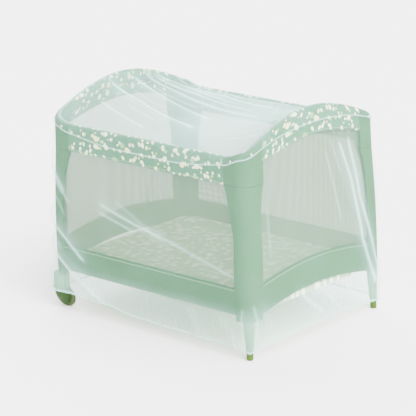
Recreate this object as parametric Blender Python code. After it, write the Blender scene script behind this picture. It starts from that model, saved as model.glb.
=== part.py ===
"""Mosquito net on a folding playpen.

A fine net lies over the rim of the playpen, sags between the two arched end rails and hangs down all four
sides to a hem drawn in round the feet. The playpen under it has padded rails, corner pieces, fabric posts,
mesh windows, bottom bands, a mat, and wheels at one end.

Metres, X along the length, Y across, Z up, with the origin on the floor under the middle. The wheels are at
the -X end. Plan shapes are drawn upright, and stand_wider() then leans them out towards the floor.
"""

import math

import bmesh
import bpy
from mathutils import Vector

# Playpen, outside sizes at the rim
PEN_LENGTH = 1.000
PEN_WIDTH = 0.752
CORNER_RADIUS = 0.055
RIM_HEIGHT = 0.782
SPLAY = 0.018
GAP = 0.0003

# Rails: a tube in the top of a padded band
LONG_RAIL_TOP = 0.760
LONG_RAIL_LOW = 0.655
ARCH_RISE = 0.100
END_RAIL_LOW = 0.705
END_RAIL_LOW_RISE = 0.072
RAIL_ROLL_RADIUS = 0.015
RAIL_ROLL_DEPTH = 0.040
RAIL_STEP_DEPTH = 0.055
COVER_THICKNESS = 0.012
CORNER_PIECE_LONG = 0.106
CORNER_PIECE_SHORT = 0.100
RIM_RISE_START = 0.400

# Posts, bands, windows and mat
POST_CHAMFER = 0.048
BAND_LOW = 0.172
BAND_TOP = 0.273
END_BAND_LOW = 0.155
END_BAND_LOW_RISE = 0.055
END_BAND_TOP = 0.270
END_BAND_TOP_RISE = 0.047
BAND_RECESS = 0.001
BAND_EDGE = 0.003
POST_AT_BAND_LONG = 0.066
POST_AT_BAND_SHORT = 0.078
WINDOW_THICKNESS = 0.0015
WINDOW_OVERLAP = 0.015
WINDOW_HALF_LONG = 0.4445
WINDOW_HALF_SHORT = 0.318
MAT_LOW = 0.178
MAT_TOP = 0.202
MAT_EDGE = 0.006

# Legs, feet and wheels
POST_LOW = 0.150
LEG_X, LEG_Y = 0.469, 0.345
WHEEL_LEG_X, WHEEL_LEG_Y = 0.475, 0.351
WHEEL_LEG_RADIUS = 0.030
WHEEL_LEG_LOW = 0.085
HOUSING_INBOARD = 0.0215
WHEEL_RADIUS = 0.035
WHEEL_WIDTH = 0.020
WHEEL_STEPS = 24
WHEEL_PLAY = 0.0022
AXLE_RADIUS = 0.005
AXLE_HEAD_RADIUS = 0.009
AXLE_HEAD_DEPTH = 0.003

# Net
NET_THICKNESS = 0.0012
NET_CREST_CLEAR = 0.0009
NET_EDGE_CLEAR = 0.0025
NET_SAG = 0.012
ARCH_FADE = 2.1
SEAM_DROP_CORNER = 0.022
SEAM_DROP_SIDE = 0.056
SEAM_DROP_REACH = 0.36
SEAM_GAP = 0.0006
TOP_FOLD_FADE = 0.06
ARC_STEPS = 3
ROLL_STEPS = 6
LONG_STEPS = 24
SHORT_STEPS = 16
STEP_CROWDING = 0.35

POST_WIDTHS = (
    # height, width on the long side, width on the short side
    (POST_LOW, POST_AT_BAND_LONG, POST_AT_BAND_SHORT),
    (0.300, POST_AT_BAND_LONG, POST_AT_BAND_SHORT),
    (0.450, 0.063, 0.078),
    (0.550, 0.075, 0.080),
    (0.610, 0.092, 0.087),
    (LONG_RAIL_LOW - GAP, CORNER_PIECE_LONG, CORNER_PIECE_SHORT),
)

LEG_PROFILE = (
    # height, radius
    (POST_LOW - GAP, 0.0200),
    (0.120, 0.0185),
    (0.060, 0.0150),
    (0.0300, 0.0135),
)

FOOT_PROFILE = (
    # height, radius
    (0.0300 - GAP, 0.0110),
    (0.0260, 0.0125),
    (0.0050, 0.0122),
    (0.0000, 0.0100),
)

WHEEL_LEG_PROFILE = (
    # height, radius
    (POST_LOW - GAP, 0.0290),
    (0.135, WHEEL_LEG_RADIUS),
    (WHEEL_LEG_LOW, WHEEL_LEG_RADIUS),
)

HOUSING_SECTIONS = (
    # height, half width along X, reach outboard of the leg's axis
    (WHEEL_LEG_LOW - GAP, 0.0250, 0.0300),
    (0.068, 0.0270, 0.0280),
    (0.052, 0.0265, 0.0215),
    (0.036, 0.0215, 0.0125),
    (0.022, 0.0155, 0.0020),
    (0.012, 0.0090, -0.0080),
)

WHEEL_PROFILE = (
    # radius, distance from the wheel's middle plane
    (AXLE_RADIUS, -0.0100),
    (0.0160, -0.0100),
    (0.0200, -0.0080),
    (0.0290, -0.0090),
    (WHEEL_RADIUS, -0.0060),
    (WHEEL_RADIUS, 0.0060),
    (0.0290, 0.0090),
    (0.0200, 0.0080),
    (0.0160, 0.0100),
    (AXLE_RADIUS, 0.0100),
)

SKIRT_ROWS = (0.0, 0.07, 0.17, 0.28, 0.39, 0.50, 0.60, 0.69, 0.77, 0.84, 0.90, 0.955, 1.0)

SKIRT_SECTIONS = (
    # height, how far the net stands off the playpen's side, corner radius
    (0.026, -0.0145, 0.018),
    (0.045, -0.0100, 0.024),
    (0.083, -0.0040, 0.035),
    (0.120, 0.0020, 0.046),
    (0.170, 0.0065, 0.056),
    (0.280, 0.0090, 0.060),
    (0.400, 0.0120, 0.060),
    (0.550, 0.0110, 0.060),
    (0.680, 0.0065, 0.058),
    (0.780, 0.0045, 0.058),
)

# Places on the skirt are measured along the rim: 0 at the near plain-footed corner (+X, -Y), negative along
# the front to -1.0 at the wheel corner, positive along the +X end to 0.752 and then along the back.
HEM_HEIGHTS = (
    # place, height
    (-1.000, 0.083),
    (-0.930, 0.077),
    (-0.730, 0.073),
    (-0.570, 0.050),
    (-0.400, 0.045),
    (-0.100, 0.043),
    (0.000, 0.026),
    (0.110, 0.038),
    (0.350, 0.046),
    (0.500, 0.049),
    (0.650, 0.038),
    (0.752, 0.028),
    (0.860, 0.040),
    (1.200, 0.046),
    (1.480, 0.060),
    (1.680, 0.076),
    (1.752, 0.083),
    (1.860, 0.077),
    (2.128, 0.066),
    (2.400, 0.077),
    (2.504, 0.083),
)

SKIRT_FOLDS = (
    # place and height of one end, place and height of the other, how far it stands out, half width
    (-1.000, 0.175, -1.000, 0.060, 0.0200, 0.058),
    (1.752, 0.175, 1.752, 0.060, 0.0200, 0.058),
    (-1.020, 0.640, -0.905, 0.500, 0.0050, 0.028),
    (-1.020, 0.420, -0.815, 0.236, 0.0070, 0.030),
    (-1.010, 0.300, -0.730, 0.080, 0.0100, 0.030),
    (-0.720, 0.480, -0.400, 0.400, 0.0045, 0.032),
    (-0.300, 0.170, -0.260, 0.050, 0.0070, 0.030),
    (-0.150, 0.160, -0.090, 0.045, 0.0080, 0.028),
    (0.060, 0.210, 0.150, 0.045, 0.0090, 0.028),
    (0.261, 0.204, 0.400, 0.080, 0.0080, 0.028),
    (0.365, 0.203, 0.490, 0.070, 0.0060, 0.026),
    (0.519, 0.714, 0.619, 0.309, 0.0055, 0.026),
    (0.619, 0.309, 0.682, 0.123, 0.0070, 0.024),
    (0.570, 0.690, 0.665, 0.314, 0.0050, 0.024),
    (0.665, 0.314, 0.712, 0.090, 0.0060, 0.024),
    (0.950, 0.420, 0.800, 0.180, 0.0070, 0.030),
    (1.150, 0.170, 1.080, 0.045, 0.0080, 0.030),
    (1.400, 0.180, 1.460, 0.060, 0.0070, 0.030),
    (1.700, 0.520, 1.560, 0.300, 0.0060, 0.030),
    (1.880, 0.500, 1.990, 0.260, 0.0050, 0.030),
    (2.230, 0.180, 2.300, 0.070, 0.0070, 0.030),
)

TOP_FOLDS = (
    # one end in plan, the other end in plan, height, half width
    (-0.450, -0.080, 0.060, -0.170, 0.0085, 0.026),
    (-0.430, 0.045, 0.030, -0.050, 0.0080, 0.026),
    (-0.400, -0.190, -0.100, -0.270, 0.0060, 0.026),
    (-0.420, 0.200, -0.140, 0.250, 0.0090, 0.032),
    (-0.450, 0.140, 0.150, 0.080, 0.0055, 0.028),
    (0.430, -0.120, 0.120, -0.200, 0.0055, 0.028),
    (0.440, 0.060, 0.100, 0.020, 0.0060, 0.028),
    (0.430, 0.210, 0.140, 0.190, 0.0050, 0.028),
)

MATERIALS = (
    # name, linear colour, roughness, alpha
    ("Fine_Net", (0.80, 0.88, 0.86), 0.8, 0.55),
    ("Printed_Padding", (0.42, 0.62, 0.42), 0.85, 1.0),
    ("Plain_Fabric", (0.30, 0.48, 0.32), 0.85, 1.0),
    ("Window_Mesh", (0.50, 0.62, 0.50), 0.8, 0.7),
    ("Mat_Fabric", (0.58, 0.70, 0.52), 0.85, 1.0),
    ("Leg_Plastic", (0.36, 0.52, 0.36), 0.45, 1.0),
    ("Foot_Plastic", (0.20, 0.36, 0.06), 0.40, 1.0),
    ("Wheel_Plastic", (0.10, 0.20, 0.05), 0.35, 1.0),
    ("Axle_Steel", (0.60, 0.60, 0.60), 0.30, 1.0),
)

HALF_LENGTH = PEN_LENGTH / 2
HALF_WIDTH = PEN_WIDTH / 2
RIM_LENGTH = 2 * (PEN_LENGTH + PEN_WIDTH)
CORNER_CUT = CORNER_RADIUS * (1 - math.sqrt(0.5))
NET_ROLL_RADIUS = RAIL_ROLL_RADIUS + NET_EDGE_CLEAR
CORNERS = ((1, -1), (1, 1), (-1, 1), (-1, -1))

SIDES = (
    # length, steps along its straight stretch, place of its start, direction that it faces in degrees
    (PEN_LENGTH, LONG_STEPS, -PEN_LENGTH, -90),
    (PEN_WIDTH, SHORT_STEPS, 0.0, 0),
    (PEN_LENGTH, LONG_STEPS, PEN_WIDTH, 90),
    (PEN_WIDTH, SHORT_STEPS, PEN_LENGTH + PEN_WIDTH, 180),
)


def smooth_step(t):
    t = min(1.0, max(0.0, t))
    return t * t * (3 - 2 * t)


def table_value(rows, key, column):
    """Read a column of a table between its rows, eased so that the curve has no corner."""
    if key <= rows[0][0]:
        return rows[0][column]
    for low, high in zip(rows, rows[1:]):
        if key <= high[0]:
            share = smooth_step((key - low[0]) / (high[0] - low[0]))
            return low[column] + share * (high[column] - low[column])
    return rows[-1][column]


def stand_wider(point):
    """Lean a point of the upright drawing outwards, by SPLAY at the floor and nothing at the rim."""
    share = SPLAY * (1 - point[2] / RIM_HEIGHT)
    return Vector((point[0] * (1 + share / HALF_LENGTH), point[1] * (1 + share / HALF_WIDTH), point[2]))


def long_rim(x):
    """Height of a long side's rim, flat along the rail and rising to the corners."""
    rise = (abs(x) - RIM_RISE_START) / (HALF_LENGTH - CORNER_CUT - RIM_RISE_START)
    return LONG_RAIL_TOP + (RIM_HEIGHT - LONG_RAIL_TOP) * smooth_step(rise)


def arch(y):
    """Share of an end's rise at y: 1 in the middle and 0 at the corners."""
    return math.cos(math.pi / 2 * min(1.0, abs(y) / (HALF_WIDTH - CORNER_CUT)))


def end_rim(y):
    return RIM_HEIGHT + ARCH_RISE * arch(y)


def make_material(name, colour, roughness, alpha):
    material = bpy.data.materials.new(name)
    material.use_nodes = True
    shader = material.node_tree.nodes["Principled BSDF"]
    shader.inputs["Base Color"].default_value = (*colour, 1.0)
    shader.inputs["Roughness"].default_value = roughness
    shader.inputs["Metallic"].default_value = 1.0 if name == "Axle_Steel" else 0.0
    shader.inputs["Alpha"].default_value = alpha


def add_object(name, bm, material, smooth=True):
    """Turn the bmesh into an object whose faces point outwards."""
    bmesh.ops.recalc_face_normals(bm, faces=bm.faces)
    mesh = bpy.data.meshes.new(name)
    bm.to_mesh(mesh)
    bm.free()
    if smooth:
        mesh.shade_smooth()
        mesh.set_sharp_from_angle(angle=math.radians(40))
    mesh.materials.append(bpy.data.materials[material])
    obj = bpy.data.objects.new(name, mesh)
    bpy.context.scene.collection.objects.link(obj)
    return obj


def loft(name, loops, material, closed=False):
    """Skin a row of loops with equal point counts, capped at both ends unless the row closes on itself."""
    bm = bmesh.new()
    rings = [[bm.verts.new(stand_wider(point)) for point in loop] for loop in loops]
    following = rings[1:] + rings[:1] if closed else rings[1:]
    for ring, after in zip(rings, following):
        count = len(ring)
        for k in range(count):
            near = (k + 1) % count
            bm.faces.new((ring[k], ring[near], after[near], after[k]))
    if not closed:
        bm.faces.new(rings[0])
        bm.faces.new(rings[-1])
    return add_object(name, bm, material)


def rail_section(place, normal, low, top):
    """Loop across a padded rail: flat outside, a roll round the tube, and a thin cover hanging below."""
    width = 2 * RAIL_ROLL_RADIUS
    centre = top - RAIL_ROLL_RADIUS
    outline = [(0.0, low)]
    for k in range(ROLL_STEPS + 1):
        angle = math.pi * k / ROLL_STEPS
        inset = RAIL_ROLL_RADIUS * (1 - math.cos(angle))
        outline.append((inset, centre + RAIL_ROLL_RADIUS * math.sin(angle)))
    outline += [(width, top - RAIL_ROLL_DEPTH), (COVER_THICKNESS, top - RAIL_STEP_DEPTH), (COVER_THICKNESS, low)]
    return [(place[0] - inset * normal[0], place[1] - inset * normal[1], z) for inset, z in outline]


def spread(start, end, count):
    """Evenly spaced values from start to end, both included."""
    return [start + (end - start) * k / (count - 1) for k in range(count)]


def make_rails():
    long_half = HALF_LENGTH - CORNER_PIECE_LONG - GAP
    for name, side in (("Rail_Front", -1), ("Rail_Back", 1)):
        loops = [
            rail_section((x, side * HALF_WIDTH), (0, side), LONG_RAIL_LOW, long_rim(x))
            for x in (-long_half, 0.0, long_half)
        ]
        loft(name, loops, "Printed_Padding")
    start = CORNER_PIECE_SHORT + GAP
    for name, side in (("Rail_Wheel_End", 3), ("Rail_Foot_End", 1)):
        between = [d for d in side_distances(side) if start < d < PEN_WIDTH - start]
        loops = []
        for distance in [start] + between + [PEN_WIDTH - start]:
            place = station(side, distance)
            at = ring_point(place, 0.0, CORNER_RADIUS)
            low = END_RAIL_LOW + END_RAIL_LOW_RISE * arch(at[1])
            loops.append(rail_section(at, place[2:4], low, station_rim(place)))
        loft(name, loops, "Printed_Padding")


def make_corner_pieces():
    """Plain padded pieces that carry the rim round each corner, between the printed rails."""
    for number in range(4):
        loops = []
        for place in corner_stations(number):
            at = ring_point(place, 0.0, CORNER_RADIUS)
            loops.append(rail_section(at, place[2:4], LONG_RAIL_LOW, station_rim(place)))
        loft(f"Corner_Piece_{number + 1}", loops, "Plain_Fabric")


def post_loop(side_x, side_y, height, long_width, short_width):
    """L-shaped loop of a corner post, rounded outside and chamfered inside over its tube."""
    arc_x = HALF_LENGTH - CORNER_RADIUS
    arc_y = HALF_WIDTH - CORNER_RADIUS
    outline = [(HALF_LENGTH - long_width, HALF_WIDTH)]
    for k in range(2 * ARC_STEPS + 1):
        angle = math.pi / 2 * (1 - k / (2 * ARC_STEPS))
        outline.append((arc_x + CORNER_RADIUS * math.cos(angle), arc_y + CORNER_RADIUS * math.sin(angle)))
    outline += [
        (HALF_LENGTH, HALF_WIDTH - short_width),
        (HALF_LENGTH - COVER_THICKNESS, HALF_WIDTH - short_width),
        (HALF_LENGTH - COVER_THICKNESS, HALF_WIDTH - POST_CHAMFER),
        (HALF_LENGTH - POST_CHAMFER, HALF_WIDTH - COVER_THICKNESS),
        (HALF_LENGTH - long_width, HALF_WIDTH - COVER_THICKNESS),
    ]
    return [(side_x * x, side_y * y, height) for x, y in outline]


def make_posts():
    for number, (side_x, side_y) in enumerate(CORNERS, 1):
        loops = [post_loop(side_x, side_y, *row) for row in POST_WIDTHS]
        loft(f"Corner_Post_{number}", loops, "Plain_Fabric")


def band_section(place, normal, low, top):
    """Loop across a bottom band, a flat strip with softened edges."""
    outer, inner = BAND_RECESS, COVER_THICKNESS
    outline = (
        (outer, low + BAND_EDGE),
        (outer, top - BAND_EDGE),
        (outer + BAND_EDGE, top),
        (inner - BAND_EDGE, top),
        (inner, top - BAND_EDGE),
        (inner, low + BAND_EDGE),
        (inner - BAND_EDGE, low),
        (outer + BAND_EDGE, low),
    )
    return [(place[0] - inset * normal[0], place[1] - inset * normal[1], z) for inset, z in outline]


def make_bands():
    long_half = HALF_LENGTH - POST_AT_BAND_LONG - GAP
    short_half = HALF_WIDTH - POST_AT_BAND_SHORT - GAP
    for name, side in (("Band_Front", -1), ("Band_Back", 1)):
        loops = [
            band_section((x, side * HALF_WIDTH), (0, side), BAND_LOW, BAND_TOP)
            for x in (-long_half, long_half)
        ]
        loft(name, loops, "Plain_Fabric")
    for name, side in (("Band_Wheel_End", -1), ("Band_Foot_End", 1)):
        loops = []
        for y in spread(-short_half, short_half, 9):
            low = END_BAND_LOW + END_BAND_LOW_RISE * arch(y)
            top = END_BAND_TOP + END_BAND_TOP_RISE * arch(y)
            loops.append(band_section((side * HALF_LENGTH, y), (side, 0), low, top))
        loft(name, loops, "Plain_Fabric")


def window_section(place, normal, low, top):
    """Loop across a mesh window, which lies behind the covers that it is sewn to."""
    outer = COVER_THICKNESS + GAP
    inner = outer + WINDOW_THICKNESS
    outline = ((outer, low), (outer, top), (inner, top), (inner, low))
    return [(place[0] - inset * normal[0], place[1] - inset * normal[1], z) for inset, z in outline]


def make_windows():
    for name, side in (("Window_Front", -1), ("Window_Back", 1)):
        low, top = BAND_TOP - WINDOW_OVERLAP, LONG_RAIL_LOW + WINDOW_OVERLAP
        loops = [
            window_section((x, side * HALF_WIDTH), (0, side), low, top)
            for x in (-WINDOW_HALF_LONG, WINDOW_HALF_LONG)
        ]
        loft(name, loops, "Window_Mesh")
    for name, side in (("Window_Wheel_End", -1), ("Window_Foot_End", 1)):
        loops = []
        for y in spread(-WINDOW_HALF_SHORT, WINDOW_HALF_SHORT, 11):
            low = END_BAND_TOP + END_BAND_TOP_RISE * arch(y) - WINDOW_OVERLAP
            top = END_RAIL_LOW + END_RAIL_LOW_RISE * arch(y) + WINDOW_OVERLAP
            loops.append(window_section((side * HALF_LENGTH, y), (side, 0), low, top))
        loft(name, loops, "Window_Mesh")


def make_mat():
    """Padded floor mat, its corners cut to clear the posts' tubes."""
    half_x = HALF_LENGTH - COVER_THICKNESS - GAP
    half_y = HALF_WIDTH - COVER_THICKNESS - GAP
    cut = POST_CHAMFER - COVER_THICKNESS + 3 * GAP
    loops = []
    for height, inset in ((MAT_LOW, 0.0), (MAT_TOP - MAT_EDGE, 0.0), (MAT_TOP - MAT_EDGE / 4, MAT_EDGE / 2),
                          (MAT_TOP, 2 * MAT_EDGE)):
        loop = []
        for side_x, side_y in CORNERS:
            x, y = half_x - inset, half_y - inset
            pair = [(side_x * (x - cut), side_y * y, height), (side_x * x, side_y * (y - cut), height)]
            loop += pair if side_x * side_y < 0 else pair[::-1]
        loops.append(loop)
    loft("Floor_Mat", loops, "Mat_Fabric")


def circle(centre, radius, height, steps):
    return [
        (
            centre[0] + radius * math.cos(2 * math.pi * k / steps),
            centre[1] + radius * math.sin(2 * math.pi * k / steps),
            height,
        )
        for k in range(steps)
    ]


def make_legs_and_feet():
    """Tube legs with plastic feet at the +X end, wide legs for the wheels at the -X end."""
    for number, (side_x, side_y) in enumerate(CORNERS, 1):
        if side_x > 0:
            centre = (side_x * LEG_X, side_y * LEG_Y)
            loft(f"Leg_{number}", [circle(centre, r, z, 14) for z, r in LEG_PROFILE], "Leg_Plastic")
            loft(f"Foot_{number}", [circle(centre, r, z, 14) for z, r in FOOT_PROFILE], "Foot_Plastic")
        else:
            centre = (side_x * WHEEL_LEG_X, side_y * WHEEL_LEG_Y)
            loft(f"Leg_{number}", [circle(centre, r, z, 18) for z, r in WHEEL_LEG_PROFILE], "Leg_Plastic")


def make_wheel(number, side_y):
    """Housing, wheel and axle of one corner. The housing is flat inboard, where the wheel runs."""
    leg = Vector((-WHEEL_LEG_X, side_y * WHEEL_LEG_Y, 0.0))
    loops = []
    for height, half_x, outboard in HOUSING_SECTIONS:
        depth = HOUSING_INBOARD + outboard
        loop = []
        for k in range(10):
            angle = math.pi * k / 9
            across = side_y * (depth * math.sin(angle) - HOUSING_INBOARD)
            loop.append((leg.x + half_x * math.cos(angle), leg.y + across, height))
        loops.append(loop)
    loft(f"Wheel_Housing_{number}", loops, "Wheel_Plastic")

    hub = stand_wider((leg.x, leg.y - side_y * HOUSING_INBOARD, WHEEL_RADIUS))
    middle = hub.y - side_y * (WHEEL_PLAY + WHEEL_WIDTH / 2)
    tread = WHEEL_RADIUS / math.cos(math.pi / WHEEL_STEPS)
    bm = bmesh.new()
    rings = []
    for k in range(WHEEL_STEPS):
        angle = 2 * math.pi * (k + 0.5) / WHEEL_STEPS
        ring = []
        for radius, across in WHEEL_PROFILE:
            reach = tread if radius == WHEEL_RADIUS else radius
            ring.append(bm.verts.new((
                hub.x + reach * math.sin(angle),
                middle + across,
                WHEEL_RADIUS - reach * math.cos(angle),
            )))
        rings.append(ring)
    for ring, after in zip(rings, rings[1:] + rings[:1]):
        for k in range(len(ring)):
            near = (k + 1) % len(ring)
            bm.faces.new((ring[k], ring[near], after[near], after[k]))
    add_object(f"Wheel_{number}", bm, "Wheel_Plastic")

    start = hub.y - side_y * 2 * GAP
    shoulder = middle - side_y * (WHEEL_WIDTH / 2 + GAP)
    shaft = AXLE_RADIUS * math.cos(math.pi / WHEEL_STEPS) - GAP
    end = shoulder - side_y * AXLE_HEAD_DEPTH
    bm = bmesh.new()
    rings = []
    for across, radius in ((start, shaft), (shoulder, shaft), (shoulder, AXLE_HEAD_RADIUS), (end, 0.007)):
        rings.append([
            bm.verts.new((hub.x + radius * math.sin(angle), across, WHEEL_RADIUS - radius * math.cos(angle)))
            for angle in (2 * math.pi * k / 12 for k in range(12))
        ])
    for ring, after in zip(rings, rings[1:]):
        for k in range(12):
            near = (k + 1) % 12
            bm.faces.new((ring[k], ring[near], after[near], after[k]))
    bm.faces.new(rings[0])
    bm.faces.new(rings[-1])
    add_object(f"Axle_{number}", bm, "Axle_Steel")


def crowded(count):
    """Shares from 0 to 1, closer together at both ends, where the corners need more points."""
    shares = (k / count for k in range(count + 1))
    return [t - STEP_CROWDING * math.sin(2 * math.pi * t) / (2 * math.pi) for t in shares]


def station(number, distance):
    """Station on a side of the rim, at a distance from its start in the middle of a corner.

    It is (corner share x, corner share y, outward x, outward y, place along the rim). The shares, from -1 to
    1, say how far along the straight stretch it lies, so that a ring of any corner radius fits.
    """
    length, _, start, facing = SIDES[number]
    first, last = CORNERS[(number + 3) % 4], CORNERS[number]
    share = min(1.0, max(0.0, (distance - CORNER_RADIUS) / (length - 2 * CORNER_RADIUS)))
    turn = max(0.0, distance - length + CORNER_RADIUS) - max(0.0, CORNER_RADIUS - distance)
    angle = math.radians(facing + 45 * turn / CORNER_RADIUS)
    return (
        first[0] + share * (last[0] - first[0]),
        first[1] + share * (last[1] - first[1]),
        math.cos(angle),
        math.sin(angle),
        start + distance,
    )


def side_distances(number):
    """Distances of a side's stations, from the middle of one corner to the middle of the next."""
    length, steps, _, _ = SIDES[number]
    arc = [CORNER_RADIUS * k / ARC_STEPS for k in range(ARC_STEPS)]
    straight = [CORNER_RADIUS + share * (length - 2 * CORNER_RADIUS) for share in crowded(steps)]
    return arc + straight + [length - distance for distance in arc[::-1]]


def side_stations(number):
    return [station(number, distance) for distance in side_distances(number)]


def corner_stations(number):
    """Stations of a corner piece, from its end on the side before the corner to its end on the side after."""
    before, after = number, (number + 1) % 4
    reach = (CORNER_PIECE_LONG, CORNER_PIECE_SHORT) if number % 2 == 0 else (CORNER_PIECE_SHORT, CORNER_PIECE_LONG)
    length = SIDES[before][0]
    first = [length - reach[0]] + [d for d in side_distances(before) if d > length - reach[0]]
    second = [d for d in side_distances(after)[1:] if d < reach[1]] + [reach[1]]
    return [station(before, d) for d in first] + [station(after, d) for d in second]


def ring_point(place, stand_off, radius):
    """Plan point of a rounded rectangle that stands off the playpen's sides, at a station."""
    share_x, share_y, out_x, out_y, _ = place
    x = share_x * (HALF_LENGTH + stand_off - radius) + radius * out_x
    y = share_y * (HALF_WIDTH + stand_off - radius) + radius * out_y
    return x, y


def station_rim(place):
    """Height of the rim at a station, that of its long side up to the middle of a corner and then its end's."""
    x, y = ring_point(place, 0.0, CORNER_RADIUS)
    if abs(place[3]) >= abs(place[2]) - 1e-6:
        return long_rim(x)
    return end_rim(y)


def seam_height(place):
    """The top panel is cut straight, so its seam lies nearer the rim at the corners."""
    along = place[4] % RIM_LENGTH
    corners = (0.0, PEN_WIDTH, PEN_LENGTH + PEN_WIDTH, PEN_LENGTH + 2 * PEN_WIDTH, RIM_LENGTH)
    away = min(abs(along - corner) for corner in corners)
    drop = SEAM_DROP_CORNER + (SEAM_DROP_SIDE - SEAM_DROP_CORNER) * smooth_step(away / SEAM_DROP_REACH)
    return station_rim(place) - drop


def ridge(distance_along, distance_across, half_width):
    """Height share of a soft ridge, fading out at its ends."""
    fade = smooth_step(min(distance_along, 1 - distance_along) * 5 + 0.5)
    return fade * math.exp(-((distance_across / half_width) ** 2))


def fold_share(point, start, end, half_width):
    along = end - start
    share = (point - start).dot(along) / along.length_squared
    held = min(1.0, max(0.0, share))
    return ridge(held, (point - start - held * along).length, half_width)


def skirt_fold(place, height):
    """How far the skirt's folds stand out at a place along the rim and a height."""
    total = 0.0
    for start, low, end, high, out, half_width in SKIRT_FOLDS:
        offset = (place - start + RIM_LENGTH / 2) % RIM_LENGTH - RIM_LENGTH / 2
        total += out * fold_share(Vector((offset, height)), Vector((0.0, low)), Vector((end - start, high)),
                                  half_width)
    return total


def top_fold(x, y):
    return sum(
        height * fold_share(Vector((x, y)), Vector(start), Vector(end), half_width)
        for *ends, height, half_width in TOP_FOLDS
        for start, end in ((ends[:2], ends[2:]),)
    )


def net_object(name, bm):
    """Give the sheet its thickness outwards. Its triangles are fixed first, so both faces share them."""
    bmesh.ops.triangulate(bm, faces=bm.faces)
    bmesh.ops.recalc_face_normals(bm, faces=bm.faces)
    if sum(face.normal.dot(face.calc_center_median() - Vector((0, 0, RIM_HEIGHT / 2))) for face in bm.faces) < 0:
        bmesh.ops.reverse_faces(bm, faces=bm.faces)
    mesh = bpy.data.meshes.new(name)
    bm.to_mesh(mesh)
    bm.free()
    mesh.shade_smooth()
    mesh.materials.append(bpy.data.materials["Fine_Net"])
    obj = bpy.data.objects.new(name, mesh)
    bpy.context.scene.collection.objects.link(obj)
    solidify = obj.modifiers.new("Thickness", "SOLIDIFY")
    solidify.thickness = NET_THICKNESS
    solidify.offset = 1.0
    solidify.use_even_offset = True
    return obj


def top_grid(edge):
    """Points of the panel inside the rails, from its four edges: a saddle between the arches that sags a little.

    Plan places are blended from all four edges. Heights add the long edges' to the arches', which fade away
    from the ends as a taut sheet does.
    """
    front, right, back, left = edge[0], edge[1], edge[2][::-1], edge[3][::-1]
    count_x, count_y = len(front), len(left)
    grid = []
    for j in range(count_y):
        row = []
        v = (left[j].y - left[0].y) / (left[-1].y - left[0].y)
        for i in range(count_x):
            u = (front[i].x - front[0].x) / (front[-1].x - front[0].x)
            corners = ((1 - u) * (1 - v) * front[0] + u * (1 - v) * front[-1]
                       + (1 - u) * v * back[0] + u * v * back[-1])
            point = (1 - v) * front[i] + v * back[i] + (1 - u) * left[j] + u * right[j] - corners
            fade = math.cosh(ARCH_FADE * (2 * u - 1)) / math.cosh(ARCH_FADE)
            long_height = (1 - v) * front[i].z + v * back[i].z
            arch_height = (1 - u) * left[j].z + u * right[j].z - corners.z
            sag = NET_SAG * (1 - (2 * u - 1) ** 2) * (1 - (2 * v - 1) ** 2)
            inside = min(point.x - left[j].x, right[j].x - point.x, point.y - front[i].y, back[i].y - point.y)
            fold = top_fold(point.x, point.y) * smooth_step(inside / TOP_FOLD_FADE)
            row.append(Vector((point.x, point.y, long_height + fade * arch_height - sag + fold)))
        grid.append(row)
    return grid


def rim_rows(place):
    """Points of the top panel over one station of the rail, from inside the roll out and down to the seam."""
    rim = station_rim(place)
    centre = rim - RAIL_ROLL_RADIUS
    points = []
    for degrees, radius in ((135, NET_ROLL_RADIUS), (90, RAIL_ROLL_RADIUS + NET_CREST_CLEAR),
                            (45, NET_ROLL_RADIUS), (0, NET_ROLL_RADIUS)):
        angle = math.radians(degrees)
        inset = RAIL_ROLL_RADIUS - radius * math.cos(angle)
        x, y = ring_point(place, -inset, CORNER_RADIUS - inset)
        points.append(Vector((x, y, centre + radius * math.sin(angle))))
    seam = seam_height(place)
    x, y = ring_point(place, table_value(SKIRT_SECTIONS, seam, 1), table_value(SKIRT_SECTIONS, seam, 2))
    points.append(Vector((x, y, seam)))
    return points


def make_net_top():
    sides = [[rim_rows(place) for place in side_stations(number)] for number in range(4)]
    grid = top_grid([[rows[0] for rows in side] for side in sides])
    bm = bmesh.new()
    verts = [[bm.verts.new(stand_wider(point)) for point in row] for row in grid]
    for j in range(len(grid) - 1):
        for i in range(len(grid[0]) - 1):
            bm.faces.new((verts[j][i], verts[j][i + 1], verts[j + 1][i + 1], verts[j + 1][i]))
    border = verts[0][:-1] + [row[-1] for row in verts[:-1]] + verts[-1][:0:-1] + [row[0] for row in verts[:0:-1]]
    around = [rows for side in sides for rows in side[:-1]]
    inner = border
    for level in range(1, len(around[0])):
        outer = [bm.verts.new(stand_wider(rows[level])) for rows in around]
        for k in range(len(inner)):
            near = (k + 1) % len(inner)
            bm.faces.new((inner[k], inner[near], outer[near], outer[k]))
        inner = outer
    net_object("Net_Top", bm)


def make_net_skirt():
    around = [place for number in range(4) for place in side_stations(number)[:-1]]
    bm = bmesh.new()
    rings = []
    for share in SKIRT_ROWS:
        ring = []
        for place in around:
            seam = seam_height(place) - SEAM_GAP
            hem = table_value(HEM_HEIGHTS, place[4], 1)
            height = seam + share * (hem - seam)
            out = smooth_step(3 * share) * skirt_fold(place[4], height)
            stand_off, radius = (table_value(SKIRT_SECTIONS, height, column) for column in (1, 2))
            x, y = ring_point(place, stand_off, radius)
            ring.append(bm.verts.new(stand_wider((x + out * place[2], y + out * place[3], height))))
        rings.append(ring)
    for ring, lower in zip(rings, rings[1:]):
        for k in range(len(ring)):
            near = (k + 1) % len(ring)
            bm.faces.new((ring[k], ring[near], lower[near], lower[k]))
    net_object("Net_Skirt", bm)


def main():
    for obj in list(bpy.data.objects):
        bpy.data.objects.remove(obj)
    for row in MATERIALS:
        make_material(*row)
    make_rails()
    make_corner_pieces()
    make_posts()
    make_bands()
    make_windows()
    make_mat()
    make_legs_and_feet()
    make_wheel(3, 1)
    make_wheel(4, -1)
    make_net_top()
    make_net_skirt()


main()
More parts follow.
